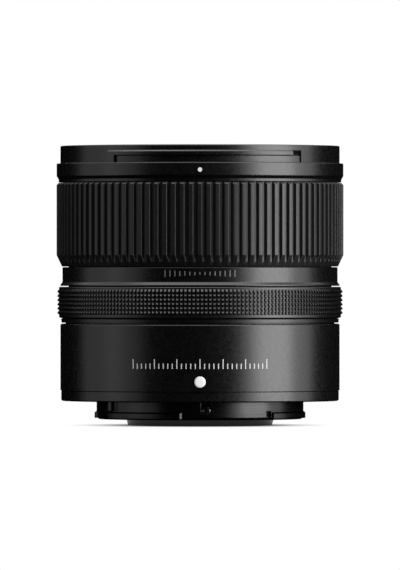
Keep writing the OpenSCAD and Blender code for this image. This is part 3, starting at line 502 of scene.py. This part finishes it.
def turned_shell(name, node, profile_at, angles, material):
    """Shell of the lens body that stands for a CAD node, from its profile at each view angle."""
    bm = bmesh.new()
    loft(bm, [profile_row(bm, softened(profile_at(angle)), angle) for angle in angles])
    piece = finish_mesh(bm, name, "lens_body", material)
    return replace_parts(even_shading(piece), node)


def rear_tube(material):
    """Rear barrel, with the pocket that the control ring's comb runs in."""
    bottom, top = height_span("rear_barrel")
    pocket = top - POCKET_DEPTH
    rim = top - SLIT_EASE
    profile = [
        (SLEEVE_R, bottom, SHARP),
        (BARREL_R, bottom, FINE),
        (BARREL_R, rim, BARREL_TOP_ROUND),
        (POCKET_R, rim, CRISP),
        (POCKET_R, pocket, SHARP),
        (SLEEVE_R, pocket, SHARP),
    ]
    return turned_shell("rear_tube", "rear_barrel", lambda angle: profile, all_round(SIDES), material)


def middle_band(material):
    """Centre band with its flared foot."""
    bottom, top = height_span("centre_band")
    profile = [
        (SLEEVE_R, bottom, SHARP),
        (FLARE_R, bottom, FLARE_FOOT_ROUND),
        (FLARE_R, bottom + FLARE_H, FINE),
        (BAND_R, bottom + FLARE_H + FLARE_SLOPE_H, EASED),
        (BAND_R, top, ROUND),
        (SLEEVE_R, top, SHARP),
    ]
    return turned_shell("middle_band", "centre_band", lambda angle: profile, all_round(SIDES), material)


# Front barrel

SKIRT_R = BODY_R - 0.52
SKIRT_H = 0.7
FLANGE_CHAMFER_H = 0.8
FLANGE_FOOT_ROUND = 0.2
HOOD_TUBE_H = 4.4
HOOD_RIM_ROUND = 0.35
LEDGE_R = BODY_R - 5
LEDGE_DROP = 0.6
LEDGE_T = 1.1

FILTER_D = 67
THREAD_ROOT_R = FILTER_D / 2
THREAD_DEPTH = 0.4
THREAD_PITCH = 0.75
THREAD_TURNS = 4
THREAD_STEPS = 96
THREAD_FOOT_HALF = 0.32
THREAD_CREST_HALF = 0.06
THREAD_SINK = 0.02
# Pitches that the ridge stays below the mouth
THREAD_LEAD = 0.5
# Turns over which each end of the ridge fades, and the share of its depth that is left there
THREAD_FADE = 0.25
THREAD_END = 0.05
MOUTH_W = 0.25
MOUTH_H = 0.3

RAIL_R = BARREL_R + 0.36
RAIL_H = 3
RAIL_EDGE = 0.3
GROOVE_R = BARREL_R - 0.34
GROOVE_H = 1.6
UNDERCUT_H = 0.25
NOTCH_R = GROOVE_R - 0.3
NOTCH_LIP = 0.05
# Where a rail, its groove and its notch begin and end, as view angles, and again half a turn on
RAIL_FROM = -40.6
GROOVE_FROM = -37.2
NOTCH_FROM = 40.8
NOTCH_TO = 45.8
# Half the angle of an upright wall at such an end, and the height of the level wall on top of a rail
WALL_HALF = 0.03
HAIR = 0.01


def hood_side(angle):
    """Radii of the hood tube at six heights: plain, on a rail, on its groove or in its notch."""
    a = (angle + 90) % 180 - 90
    if NOTCH_FROM <= a < NOTCH_TO:
        lip = BARREL_R - NOTCH_LIP
        climb = 1 - RAIL_EDGE / (RAIL_H - GROOVE_H - UNDERCUT_H)
        return GROOVE_R, GROOVE_R, NOTCH_R, NOTCH_R + (lip - NOTCH_R) * climb, lip, BARREL_R
    if GROOVE_FROM <= a < NOTCH_FROM:
        return GROOVE_R, GROOVE_R, RAIL_R, RAIL_R, RAIL_R - RAIL_EDGE, BARREL_R
    if RAIL_FROM <= a < GROOVE_FROM:
        return RAIL_R, RAIL_R, RAIL_R, RAIL_R, RAIL_R - RAIL_EDGE, BARREL_R
    return (BARREL_R,) * 6


def hood_angles():
    """View angles all round, with a close pair at each end of a rail, groove or notch."""
    angles = all_round(SIDES)
    for turn in (0, 180):
        for end in (RAIL_FROM, GROOVE_FROM, NOTCH_FROM, NOTCH_TO):
            angles += [(turn + end - WALL_HALF) % 360, (turn + end + WALL_HALF) % 360]
    return sorted(angles)


def front_tube(material):
    """Front barrel: skirt, flange, hood tube with its rails, and the bore of the filter thread."""
    bottom, top = height_span("front_barrel")
    step = top - HOOD_TUBE_H
    ledge = step - LEDGE_DROP
    heights = (0, GROOVE_H, GROOVE_H + UNDERCUT_H, RAIL_H - RAIL_EDGE, RAIL_H, RAIL_H + HAIR)

    def profile_at(angle):
        side = [(r, step + h, SHARP) for r, h in zip(hood_side(angle), heights)]
        return [
            (SLEEVE_R, bottom, SHARP),
            (SKIRT_R, bottom, FINE),
            (SKIRT_R, bottom + SKIRT_H, EASED),
            (FLANGE_R, bottom + SKIRT_H + FLANGE_CHAMFER_H, FLANGE_FOOT_ROUND),
            (FLANGE_R, step, ROUND),
            *side,
            (BARREL_R, top, HOOD_RIM_ROUND),
            (THREAD_ROOT_R + MOUTH_W, top, FINE),
            (THREAD_ROOT_R, top - MOUTH_H, FINE),
            (THREAD_ROOT_R, ledge, SHARP),
            (LEDGE_R, ledge, CRISP),
            (LEDGE_R, ledge - LEDGE_T, SHARP),
            (SLEEVE_R, ledge - LEDGE_T, SHARP),
        ]

    return turned_shell("front_tube", "front_barrel", profile_at, hood_angles(), material)


def filter_thread(material):
    """Ridge of the filter thread, wound inside the front barrel and fading out at both ends."""
    top = height_span("front_barrel")[1]
    start = top - MOUTH_H - (THREAD_TURNS + THREAD_LEAD) * THREAD_PITCH
    foot = THREAD_ROOT_R + THREAD_SINK
    bm = bmesh.new()
    rows = []
    for i in range(THREAD_TURNS * THREAD_STEPS + 1):
        turns = i / THREAD_STEPS
        fade = min(1, turns / THREAD_FADE, (THREAD_TURNS - turns) / THREAD_FADE)
        crest = THREAD_ROOT_R - THREAD_DEPTH * max(fade, THREAD_END)
        z = start + THREAD_PITCH * turns
        section = (
            (foot, z - THREAD_FOOT_HALF),
            (crest, z - THREAD_CREST_HALF),
            (crest, z + THREAD_CREST_HALF),
            (foot, z + THREAD_FOOT_HALF),
        )
        rows.append(profile_row(bm, section, turns * 360))
    sweep(bm, rows)
    return finish_mesh(bm, "filter_thread", "lens_body", material)


# Zoom ring

RIBS = 102
RIB_H = 0.8
# Half a rib: share of the pitch from its middle, and share of its height
RIB_HALF = ((0, 1), (0.185, 1), (0.218, 0.97), (0.243, 0.88),
            (0.357, 0.12), (0.382, 0.03), (0.415, 0), (0.5, 0))
TAPER_H = 2.85
TAPER = 1.35
TOP_CHAMFER = 0.5
SOFT_EDGE = 0.08
# Least height of the top chamfer, the share of it left to its last bend, and the inset of the flat top
CHAMFER_LEAST = 0.02
CHAMFER_BEND = 0.1
TOP_INSET = 0.05

TAB_INNER = BODY_R - 5.4
TAB_OUTER = BODY_R - 2
# How far the tab begins above the foot of the ring
TAB_RISE = 10.45
TAB_H = 2
TAB_FROM = 177
TAB_TO = 183
TAB_STEPS = 4


def zoom_ring_profile(height, bottom, top):
    """Closed profile of the zoom ring where a rib has a given share of its height."""
    outer = BODY_R - RIB_H * (1 - height)
    foot_r = BODY_R - TAPER
    slope = TAPER_H / TAPER
    low = bottom + (outer - foot_r) * slope
    cap_r = min(outer, BODY_R - TOP_CHAMFER)
    high = top - max(outer - cap_r, CHAMFER_LEAST)
    soft_r = min(SOFT_EDGE, outer - foot_r) / 2
    return [
        (foot_r, bottom),
        (outer - soft_r, low - soft_r * slope),
        (outer, low + SOFT_EDGE),
        (outer, high - SOFT_EDGE),
        (outer - min(SOFT_EDGE, outer - cap_r) / 2, high + min(SOFT_EDGE, top - high) / 2),
        (cap_r + (outer - cap_r) * CHAMFER_BEND, top - (top - high) * CHAMFER_BEND),
        (cap_r - TOP_INSET, top),
        (RING_BORE, top),
        (RING_BORE, bottom),
    ]


def zoom_grip(material):
    """Ribbed zoom ring with softened edges, and the tab that its sensor reads."""
    bottom, top = height_span("zoom_ring")
    rib = [(-share, height) for share, height in RIB_HALF[-2:0:-1]] + list(RIB_HALF)
    bm = bmesh.new()
    loft(bm, repeated_rows(bm, RIBS, rib, lambda height: zoom_ring_profile(height, bottom, top)))
    tab = bottom + TAB_RISE
    arc_block(bm, TAB_INNER, TAB_OUTER, tab, tab + TAB_H, TAB_FROM, TAB_TO, TAB_STEPS)
    piece = finish_mesh(bm, "zoom_grip", "zoom_ring", material, sharp=50)
    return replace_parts(even_shading(piece), "zoom_ring")


# Control ring

KNURL_COLUMNS = 218
KNURL_ROWS = 6
KNURL_PITCH = 1.06
# How far the knurl begins above the bottom of the foot
KNURL_RISE = 2.04
KNURL_PEAK_R = BODY_R - 0.2
KNURL_DEPTH = 0.43
# One tooth, up its row and across its column: share of the pitch, and share of the depth
KNURL_ROW = ((0, 0), (0.24, 1), (0.44, 1))
KNURL_COLUMN = ((0, 0), (0.21, 0), (0.29, 1), (0.71, 1), (0.79, 0))
SMOOTH_R = BODY_R - 0.62
# How far the lip stays under its CAD top, which opens the slit above it
LIP_DROP = 0.1
LIP_CHAMFER = 0.18
# Share of the chamfer that the lip has dropped half-way across it
LIP_CROWN = 0.2
FOOT_R = SMOOTH_R - 0.52
FOOT_H = 1.01
FOOT_DRAFT = 0.08
FOOT_GROOVE = 0.5
FOOT_GAP = 0.27
RING_EDGE = 0.1

COMB_H = 4.55
COMB_INNER = RING_BORE + 0.2
COMB_OUTER = COMB_INNER + 0.45
COMB_SLITS = 60
COMB_SLIT_W = 1.2
COMB_BAND_H = 1.2
COMB_OVERLAP = 0.1
COMB_STEPS = 2


def knurl_profile(across, bottom):
    """Rows of teeth where a knurl column has a given share of the depth."""
    points = []
    for row in range(KNURL_ROWS):
        for along, height in KNURL_ROW:
            radius = KNURL_PEAK_R - KNURL_DEPTH * (1 - min(height, across))
            points.append((radius, bottom + (row + along) * KNURL_PITCH))
    return points


def control_ring_profile(across, bottom, top):
    """Closed profile of the control ring where a knurl column has a given share of the depth."""
    foot = bottom + FOOT_H
    smooth = foot + FOOT_GAP
    knurl = bottom + KNURL_RISE
    return [
        (FOOT_R - FOOT_DRAFT - RING_EDGE, bottom),
        (FOOT_R - FOOT_DRAFT, bottom + RING_EDGE),
        (FOOT_R, foot - RING_EDGE),
        (FOOT_R - RING_EDGE, foot),
        (FOOT_R - FOOT_GROOVE, foot),
        (SMOOTH_R - RING_EDGE, smooth),
        (SMOOTH_R, smooth + RING_EDGE),
        *knurl_profile(across, knurl),
        (SMOOTH_R, knurl + KNURL_ROWS * KNURL_PITCH),
        (SMOOTH_R, top - LIP_CHAMFER),
        (SMOOTH_R - LIP_CHAMFER / 2, top - LIP_CHAMFER * LIP_CROWN),
        (SMOOTH_R - LIP_CHAMFER, top),
        (RING_BORE, top),
        (RING_BORE, bottom),
    ]


def sensor_comb(bm, top):
    """Adds the slit comb that the control ring's sensor reads, hanging from a height."""
    pitch = 360 / COMB_SLITS
    half = math.degrees(COMB_SLIT_W / COMB_OUTER) / 2
    band = top - COMB_BAND_H
    for i in range(COMB_SLITS):
        start = i * pitch
        end = start + pitch
        arc_block(bm, COMB_INNER, COMB_OUTER, band, top + COMB_OVERLAP, start, end, COMB_STEPS)
        arc_block(bm, COMB_INNER, COMB_OUTER, top - COMB_H, band, start + half, end - half, COMB_STEPS)


def control_grip(material):
    """Knurled control ring, and the comb below it."""
    low, high = height_span("control_ring")
    bottom = low + COMB_H
    top = high - LIP_DROP
    bm = bmesh.new()
    rows = repeated_rows(
        bm, KNURL_COLUMNS, KNURL_COLUMN, lambda across: control_ring_profile(across, bottom, top))
    loft(bm, rows, fill=ridged_strip)
    sensor_comb(bm, bottom)
    piece = finish_mesh(bm, "control_grip", "control_ring", material)
    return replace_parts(piece, "control_ring")


# Stop screw: sizes across its face are shares of its radius

SCREW_SIDES = 48
# Rim of the head: share of the radius, and millimetres out of the face
SCREW_RIM = ((0.74, 0), (0.84, -0.02), (0.93, -0.1), (0.98, -0.22), (1, -0.4), (1, -0.9))
CROSS_HALF = 0.15
CROSS_REACH = 0.6
CROSS_TAPER = 0.7
CROSS_DEPTH = 0.5


def cross_outline():
    """Corners of the cross recess, one arm and one inner corner for each quarter."""
    arm = ((CROSS_REACH, -CROSS_HALF), (CROSS_REACH, CROSS_HALF), (CROSS_HALF, CROSS_HALF))
    corners = []
    for c, s in ((1, 0), (0, 1), (-1, 0), (0, -1)):
        corners += [(x * c - y * s, x * s + y * c) for x, y in arm]
    return corners


def stop_screw(material):
    """Screw beside a bayonet lug, with a rounded rim and a tapered cross recess."""
    low, high = box_of("bayonet_stop_screw")
    middle = (low + high) / 2
    radius = (high.z - low.z) / 2
    up = Vector((0, 0, 1))
    out = Vector((middle.x, middle.y, 0)).normalized()
    side = up.cross(out)
    face = out * -low.y + up * middle.z
    bm = bmesh.new()

    def point(across, rise, lift):
        return bm.verts.new((face + radius * (across * side + rise * up) + out * lift) * MM)

    def closed_loop(verts):
        return [bm.edges.new((verts[i - 1], verts[i])) for i in range(len(verts))]

    turns = [math.radians(angle) for angle in all_round(SCREW_SIDES)]
    rim = [[point(r * math.cos(a), r * math.sin(a), lift) for a in turns] for r, lift in SCREW_RIM]
    mouth = [point(x, y, 0) for x, y in cross_outline()]
    pit = [point(x * CROSS_TAPER, y * CROSS_TAPER, -CROSS_DEPTH) for x, y in cross_outline()]
    bmesh.ops.triangle_fill(bm, edges=closed_loop(rim[0]) + closed_loop(mouth), use_beauty=True)
    for row, after in [*zip(rim, rim[1:]), (mouth, pit)]:
        strip(bm, row, after)
    bm.faces.new(pit)
    bm.faces.new(rim[-1])
    piece = finish_mesh(bm, "stop_screw", "lens_body", material, sharp=35)
    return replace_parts(piece, "bayonet_stop_screw")


# Dots and printed marks: a rise is counted from the foot of the shell that carries the mark

DOT_SIDES = 48
DOT_R = 1.4
# Section of the raised dot: distance from its middle, and how far it stands out of the barrel
DOT_FACE = ((0, 0.2), (0.9, 0.2), (1.2, 0.17), (1.34, 0.08), (DOT_R, -0.06), (DOT_R, -0.8), (0, -0.8))
# Points closer than this are joined
WELD = 0.001
HOOD_DOT_SIDES = 40
HOOD_DOT_R = 0.55
HOOD_DOT_RISE = 2.84

TICK_HALF = 0.11
TICK_LIFT = 0.01
BAND_TICK_PAIRS = 7
BAND_TICK_STEP = 1.25
BAND_TICK_RISE = 3.11
BAND_TICK_REACH = 0.3
BAND_TICK_GROWTH = 0.08
SCALE_PAIRS = 15
SCALE_STEP = 1.15
SCALE_RISE = 5.73
SCALE_GROUP = 5
SCALE_LONG = 2.4
SCALE_SHORT = 1.3


def mount_dot(material):
    """Raised white dot with a flat face and a rounded rim."""
    middle = sum(height_span("mount_index_dot")) / 2
    bm = bmesh.new()
    rows = []
    for across, up in circle(1, DOT_SIDES):
        points = [(r * across, -BARREL_R - out, middle + r * up) for r, out in DOT_FACE]
        rows.append([bm.verts.new(Vector(p) * MM) for p in points])
    spin(bm, rows)
    bmesh.ops.remove_doubles(bm, verts=bm.verts, dist=WELD * MM)
    piece = finish_mesh(bm, "mount_dot", "lens_body", material, sharp=40)
    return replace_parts(piece, "mount_index_dot")


def print_shape(bm, outline, radius, lift):
    """Adds a flat mark on a cylinder, from its outline along and up the surface."""
    face, foot = [], []
    for along, up in outline:
        angle = math.degrees(along / radius)
        face.append(bm.verts.new(on_view(radius + lift, angle, up)))
        foot.append(bm.verts.new(on_view(radius - lift, angle, up)))
    bm.faces.new(face)
    strip(bm, face, foot)


def hood_dot(material):
    """White index dot, level with the largest diameter."""
    middle = height_span("front_barrel")[0] + HOOD_DOT_RISE
    outline = [(across, middle + up) for across, up in circle(HOOD_DOT_R, HOOD_DOT_SIDES)]
    bm = bmesh.new()
    print_shape(bm, outline, FLANGE_R, BODY_R - FLANGE_R)
    return finish_mesh(bm, "hood_index_dot", "lens_body", material)


def ticks(name, radius, marks, material):
    """Row of printed ticks, each a place along the surface, a lower and an upper end."""
    bm = bmesh.new()
    for along, low, high in marks:
        left, right = along - TICK_HALF, along + TICK_HALF
        print_shape(bm, ((left, low), (right, low), (right, high), (left, high)), radius, TICK_LIFT)
    return finish_mesh(bm, name, "lens_body", material)


def band_ticks(material):
    """Ticks on the centre band that grow to both sides, for the two ways the zoom ring turns."""
    middle = height_span("centre_band")[0] + BAND_TICK_RISE
    marks = []
    for i in range(-BAND_TICK_PAIRS, BAND_TICK_PAIRS + 1):
        reach = BAND_TICK_REACH + BAND_TICK_GROWTH * abs(i)
        marks.append((BAND_TICK_STEP * i, middle - reach, middle + reach))
    return ticks("band_ticks", BAND_R, marks, material)


def barrel_scale(material):
    """Plain graduations on the rear barrel, longer at every fifth one."""
    foot = height_span("rear_barrel")[0] + SCALE_RISE
    marks = []
    for i in range(-SCALE_PAIRS, SCALE_PAIRS + 1):
        length = SCALE_LONG if i % SCALE_GROUP == 0 else SCALE_SHORT
        marks.append((SCALE_STEP * i, foot, foot + length))
    return ticks("barrel_scale", BARREL_R, marks, material)


# Stage

FLOOR_R = 55
FLOOR_SIDES = 96
FLOOR_WHITE = 0.8
# Distances from the axis between which the shadow on the floor fades to white
FADE_FROM = 12
FADE_TO = 36
CARD_HOLE_R = 24
CARD_R = 70
CARD_LIFT = 0.3
FLAG_R = 900
FLAG_TOP = 500
FLAG_BOTTOM = -600
FLAG_SIDES = 72
FLAG_BLACK = 0.002
LAMP_AIM_Z = 30
WORLD_DIM = 0.1

CAMERA_DISTANCE = 2290
CAMERA_Z = 32.66
CAMERA_AIM_Z = 29.1
CAMERA_LENS = 576.1
CAMERA_SENSOR = 36
CAMERA_REACH = 20000


def seen_directly(nodes, links):
    """1 for camera, glossy and transmission rays, 0 for the rest."""
    path = nodes.new("ShaderNodeLightPath")
    total = path.outputs["Is Camera Ray"]
    for name in ("Is Glossy Ray", "Is Transmission Ray"):
        larger = nodes.new("ShaderNodeMath")
        larger.operation = "MAXIMUM"
        links.new(total, larger.inputs[0])
        links.new(path.outputs[name], larger.inputs[1])
        total = larger.outputs["Value"]
    return total


def floor_material():
    """White floor that keeps the shadow near the object and fades to plain white."""
    material = bpy.data.materials.new("floor")
    material.use_nodes = True
    nodes, links = material.node_tree.nodes, material.node_tree.links
    shader = nodes["Principled BSDF"]
    shader.inputs["Base Color"].default_value = (FLOOR_WHITE, FLOOR_WHITE, FLOOR_WHITE, 1)
    shader.inputs["Roughness"].default_value = 0.9
    glow = nodes.new("ShaderNodeEmission")
    place = nodes.new("ShaderNodeTexCoord")
    reach = nodes.new("ShaderNodeVectorMath")
    reach.operation = "LENGTH"
    fade = nodes.new("ShaderNodeMapRange")
    fade.interpolation_type = "SMOOTHSTEP"
    fade.inputs["From Min"].default_value = FADE_FROM * MM
    fade.inputs["From Max"].default_value = FADE_TO * MM
    links.new(place.outputs["Object"], reach.inputs[0])
    links.new(reach.outputs["Value"], fade.inputs["Value"])
    share = nodes.new("ShaderNodeMath")
    share.operation = "MULTIPLY"
    links.new(fade.outputs["Result"], share.inputs[0])
    links.new(seen_directly(nodes, links), share.inputs[1])
    mix = nodes.new("ShaderNodeMixShader")
    links.new(share.outputs["Value"], mix.inputs["Fac"])
    links.new(shader.outputs["BSDF"], mix.inputs[1])
    links.new(glow.outputs["Emission"], mix.inputs[2])
    links.new(mix.outputs["Shader"], nodes["Material Output"].inputs["Surface"])
    return material


def stage_mesh(bm, name, material):
    """Makes a stage object of the mesh."""
    mesh = bpy.data.meshes.new(name)
    bm.to_mesh(mesh)
    bm.free()
    mesh.materials.append(material)
    obj = bpy.data.objects.new(name, mesh)
    bpy.context.scene.collection.objects.link(obj)
    return obj


def floor():
    """Round white floor under the lens."""
    bm = bmesh.new()
    bmesh.ops.create_circle(bm, cap_ends=True, radius=FLOOR_R * MM, segments=FLOOR_SIDES)
    disc = stage_mesh(bm, "floor", floor_material())
    disc.location.z = cad_box[0][2]
    return disc


def flags():
    """Black card on the floor and a black bowl round it, which keep the reflections dark."""
    black = bpy.data.materials.new("flag")
    black.use_nodes = True
    shader = black.node_tree.nodes["Principled BSDF"]
    shader.inputs["Base Color"].default_value = (FLAG_BLACK, FLAG_BLACK, FLAG_BLACK, 1)
    shader.inputs["Specular IOR Level"].default_value = 0.0
    card = cad_box[0][2] / MM + CARD_LIFT
    profile = (
        (CARD_HOLE_R, card),
        (CARD_R, card),
        (CARD_R, FLAG_BOTTOM),
        (FLAG_R, FLAG_BOTTOM),
        (FLAG_R, FLAG_TOP),
    )
    bm = bmesh.new()
    spin(bm, [profile_row(bm, profile, angle) for angle in all_round(FLAG_SIDES)])
    ring = stage_mesh(bm, "flags", black)
    ring.visible_camera = False
    ring.visible_shadow = False
    ring.visible_diffuse = False
    return ring


def softbox(name, angle, rise, distance, width, height, radiance):
    """Area light aimed at the lens, given by the brightness of its face."""
    data = bpy.data.lights.new(name, "AREA")
    data.shape = "RECTANGLE"
    data.size = width * MM
    data.size_y = height * MM
    data.energy = radiance * data.size * data.size_y * math.pi
    lamp = bpy.data.objects.new(name, data)
    bpy.context.scene.collection.objects.link(lamp)
    up = math.radians(rise)
    lamp.location = on_view(distance * math.cos(up), angle, LAMP_AIM_Z + distance * math.sin(up))
    aim = Vector((0, 0, LAMP_AIM_Z * MM)) - lamp.location
    lamp.rotation_euler = aim.to_track_quat("-Z", "Y").to_euler()
    lamp.visible_camera = False
    return lamp


def lights():
    """Strong softbox on the right, weak fill on the left, each with a soft edge, and light from above."""
    softbox("key_core", angle=62, rise=10, distance=650, width=410, height=800, radiance=4.1)
    softbox("key_edge", angle=68.5, rise=10, distance=660, width=907, height=800, radiance=1.65)
    softbox("fill_core", angle=-74, rise=10, distance=650, width=200, height=800, radiance=0.34)
    softbox("fill_edge", angle=-79.5, rise=10, distance=660, width=810, height=800, radiance=0.46)
    softbox("top", angle=0, rise=82, distance=750, width=1000, height=1000, radiance=2.15)


def world():
    """White background for what is seen directly, and dim light for the rest."""
    scene_world = bpy.data.worlds.new("studio")
    bpy.context.scene.world = scene_world
    scene_world.use_nodes = True
    nodes, links = scene_world.node_tree.nodes, scene_world.node_tree.links
    white = nodes["Background"]
    white.inputs["Color"].default_value = (1, 1, 1, 1)
    white.inputs["Strength"].default_value = 1
    dim = nodes.new("ShaderNodeBackground")
    dim.inputs["Color"].default_value = (1, 1, 1, 1)
    dim.inputs["Strength"].default_value = WORLD_DIM
    mix = nodes.new("ShaderNodeMixShader")
    links.new(seen_directly(nodes, links), mix.inputs["Fac"])
    links.new(dim.outputs["Background"], mix.inputs[1])
    links.new(white.outputs["Background"], mix.inputs[2])
    links.new(mix.outputs["Shader"], nodes["World Output"].inputs["Surface"])


def camera():
    """Camera with a long lens, straight from the side as in the photograph."""
    data = bpy.data.cameras.new("camera")
    data.sensor_fit = "VERTICAL"
    data.sensor_height = CAMERA_SENSOR
    data.lens = CAMERA_LENS
    data.clip_end = CAMERA_REACH * MM
    eye = bpy.data.objects.new("camera", data)
    bpy.context.scene.collection.objects.link(eye)
    eye.location = on_view(CAMERA_DISTANCE, 0, CAMERA_Z)
    aim = Vector((0, 0, CAMERA_AIM_Z * MM)) - eye.location
    eye.rotation_euler = aim.to_track_quat("-Z", "Y").to_euler()
    bpy.context.scene.camera = eye


def build():
    """Dresses the frame, adds the pieces and sets the stage."""
    bpy.context.scene.view_settings.view_transform = "Standard"
    finishes = dress_nodes()
    shell = finishes["shell"]
    front_tube(shell)
    filter_thread(shell)
    middle_band(shell)
    rear_tube(shell)
    zoom_grip(finishes["grip"])
    control_grip(knurl_grip())
    stop_screw(screw_steel())
    mount_dot(finishes["white"])
    hood_dot(finishes["white"])
    band_ticks(grey_print())
    barrel_scale(white_print())
    floor()
    flags()
    lights()
    world()
    camera()


build()
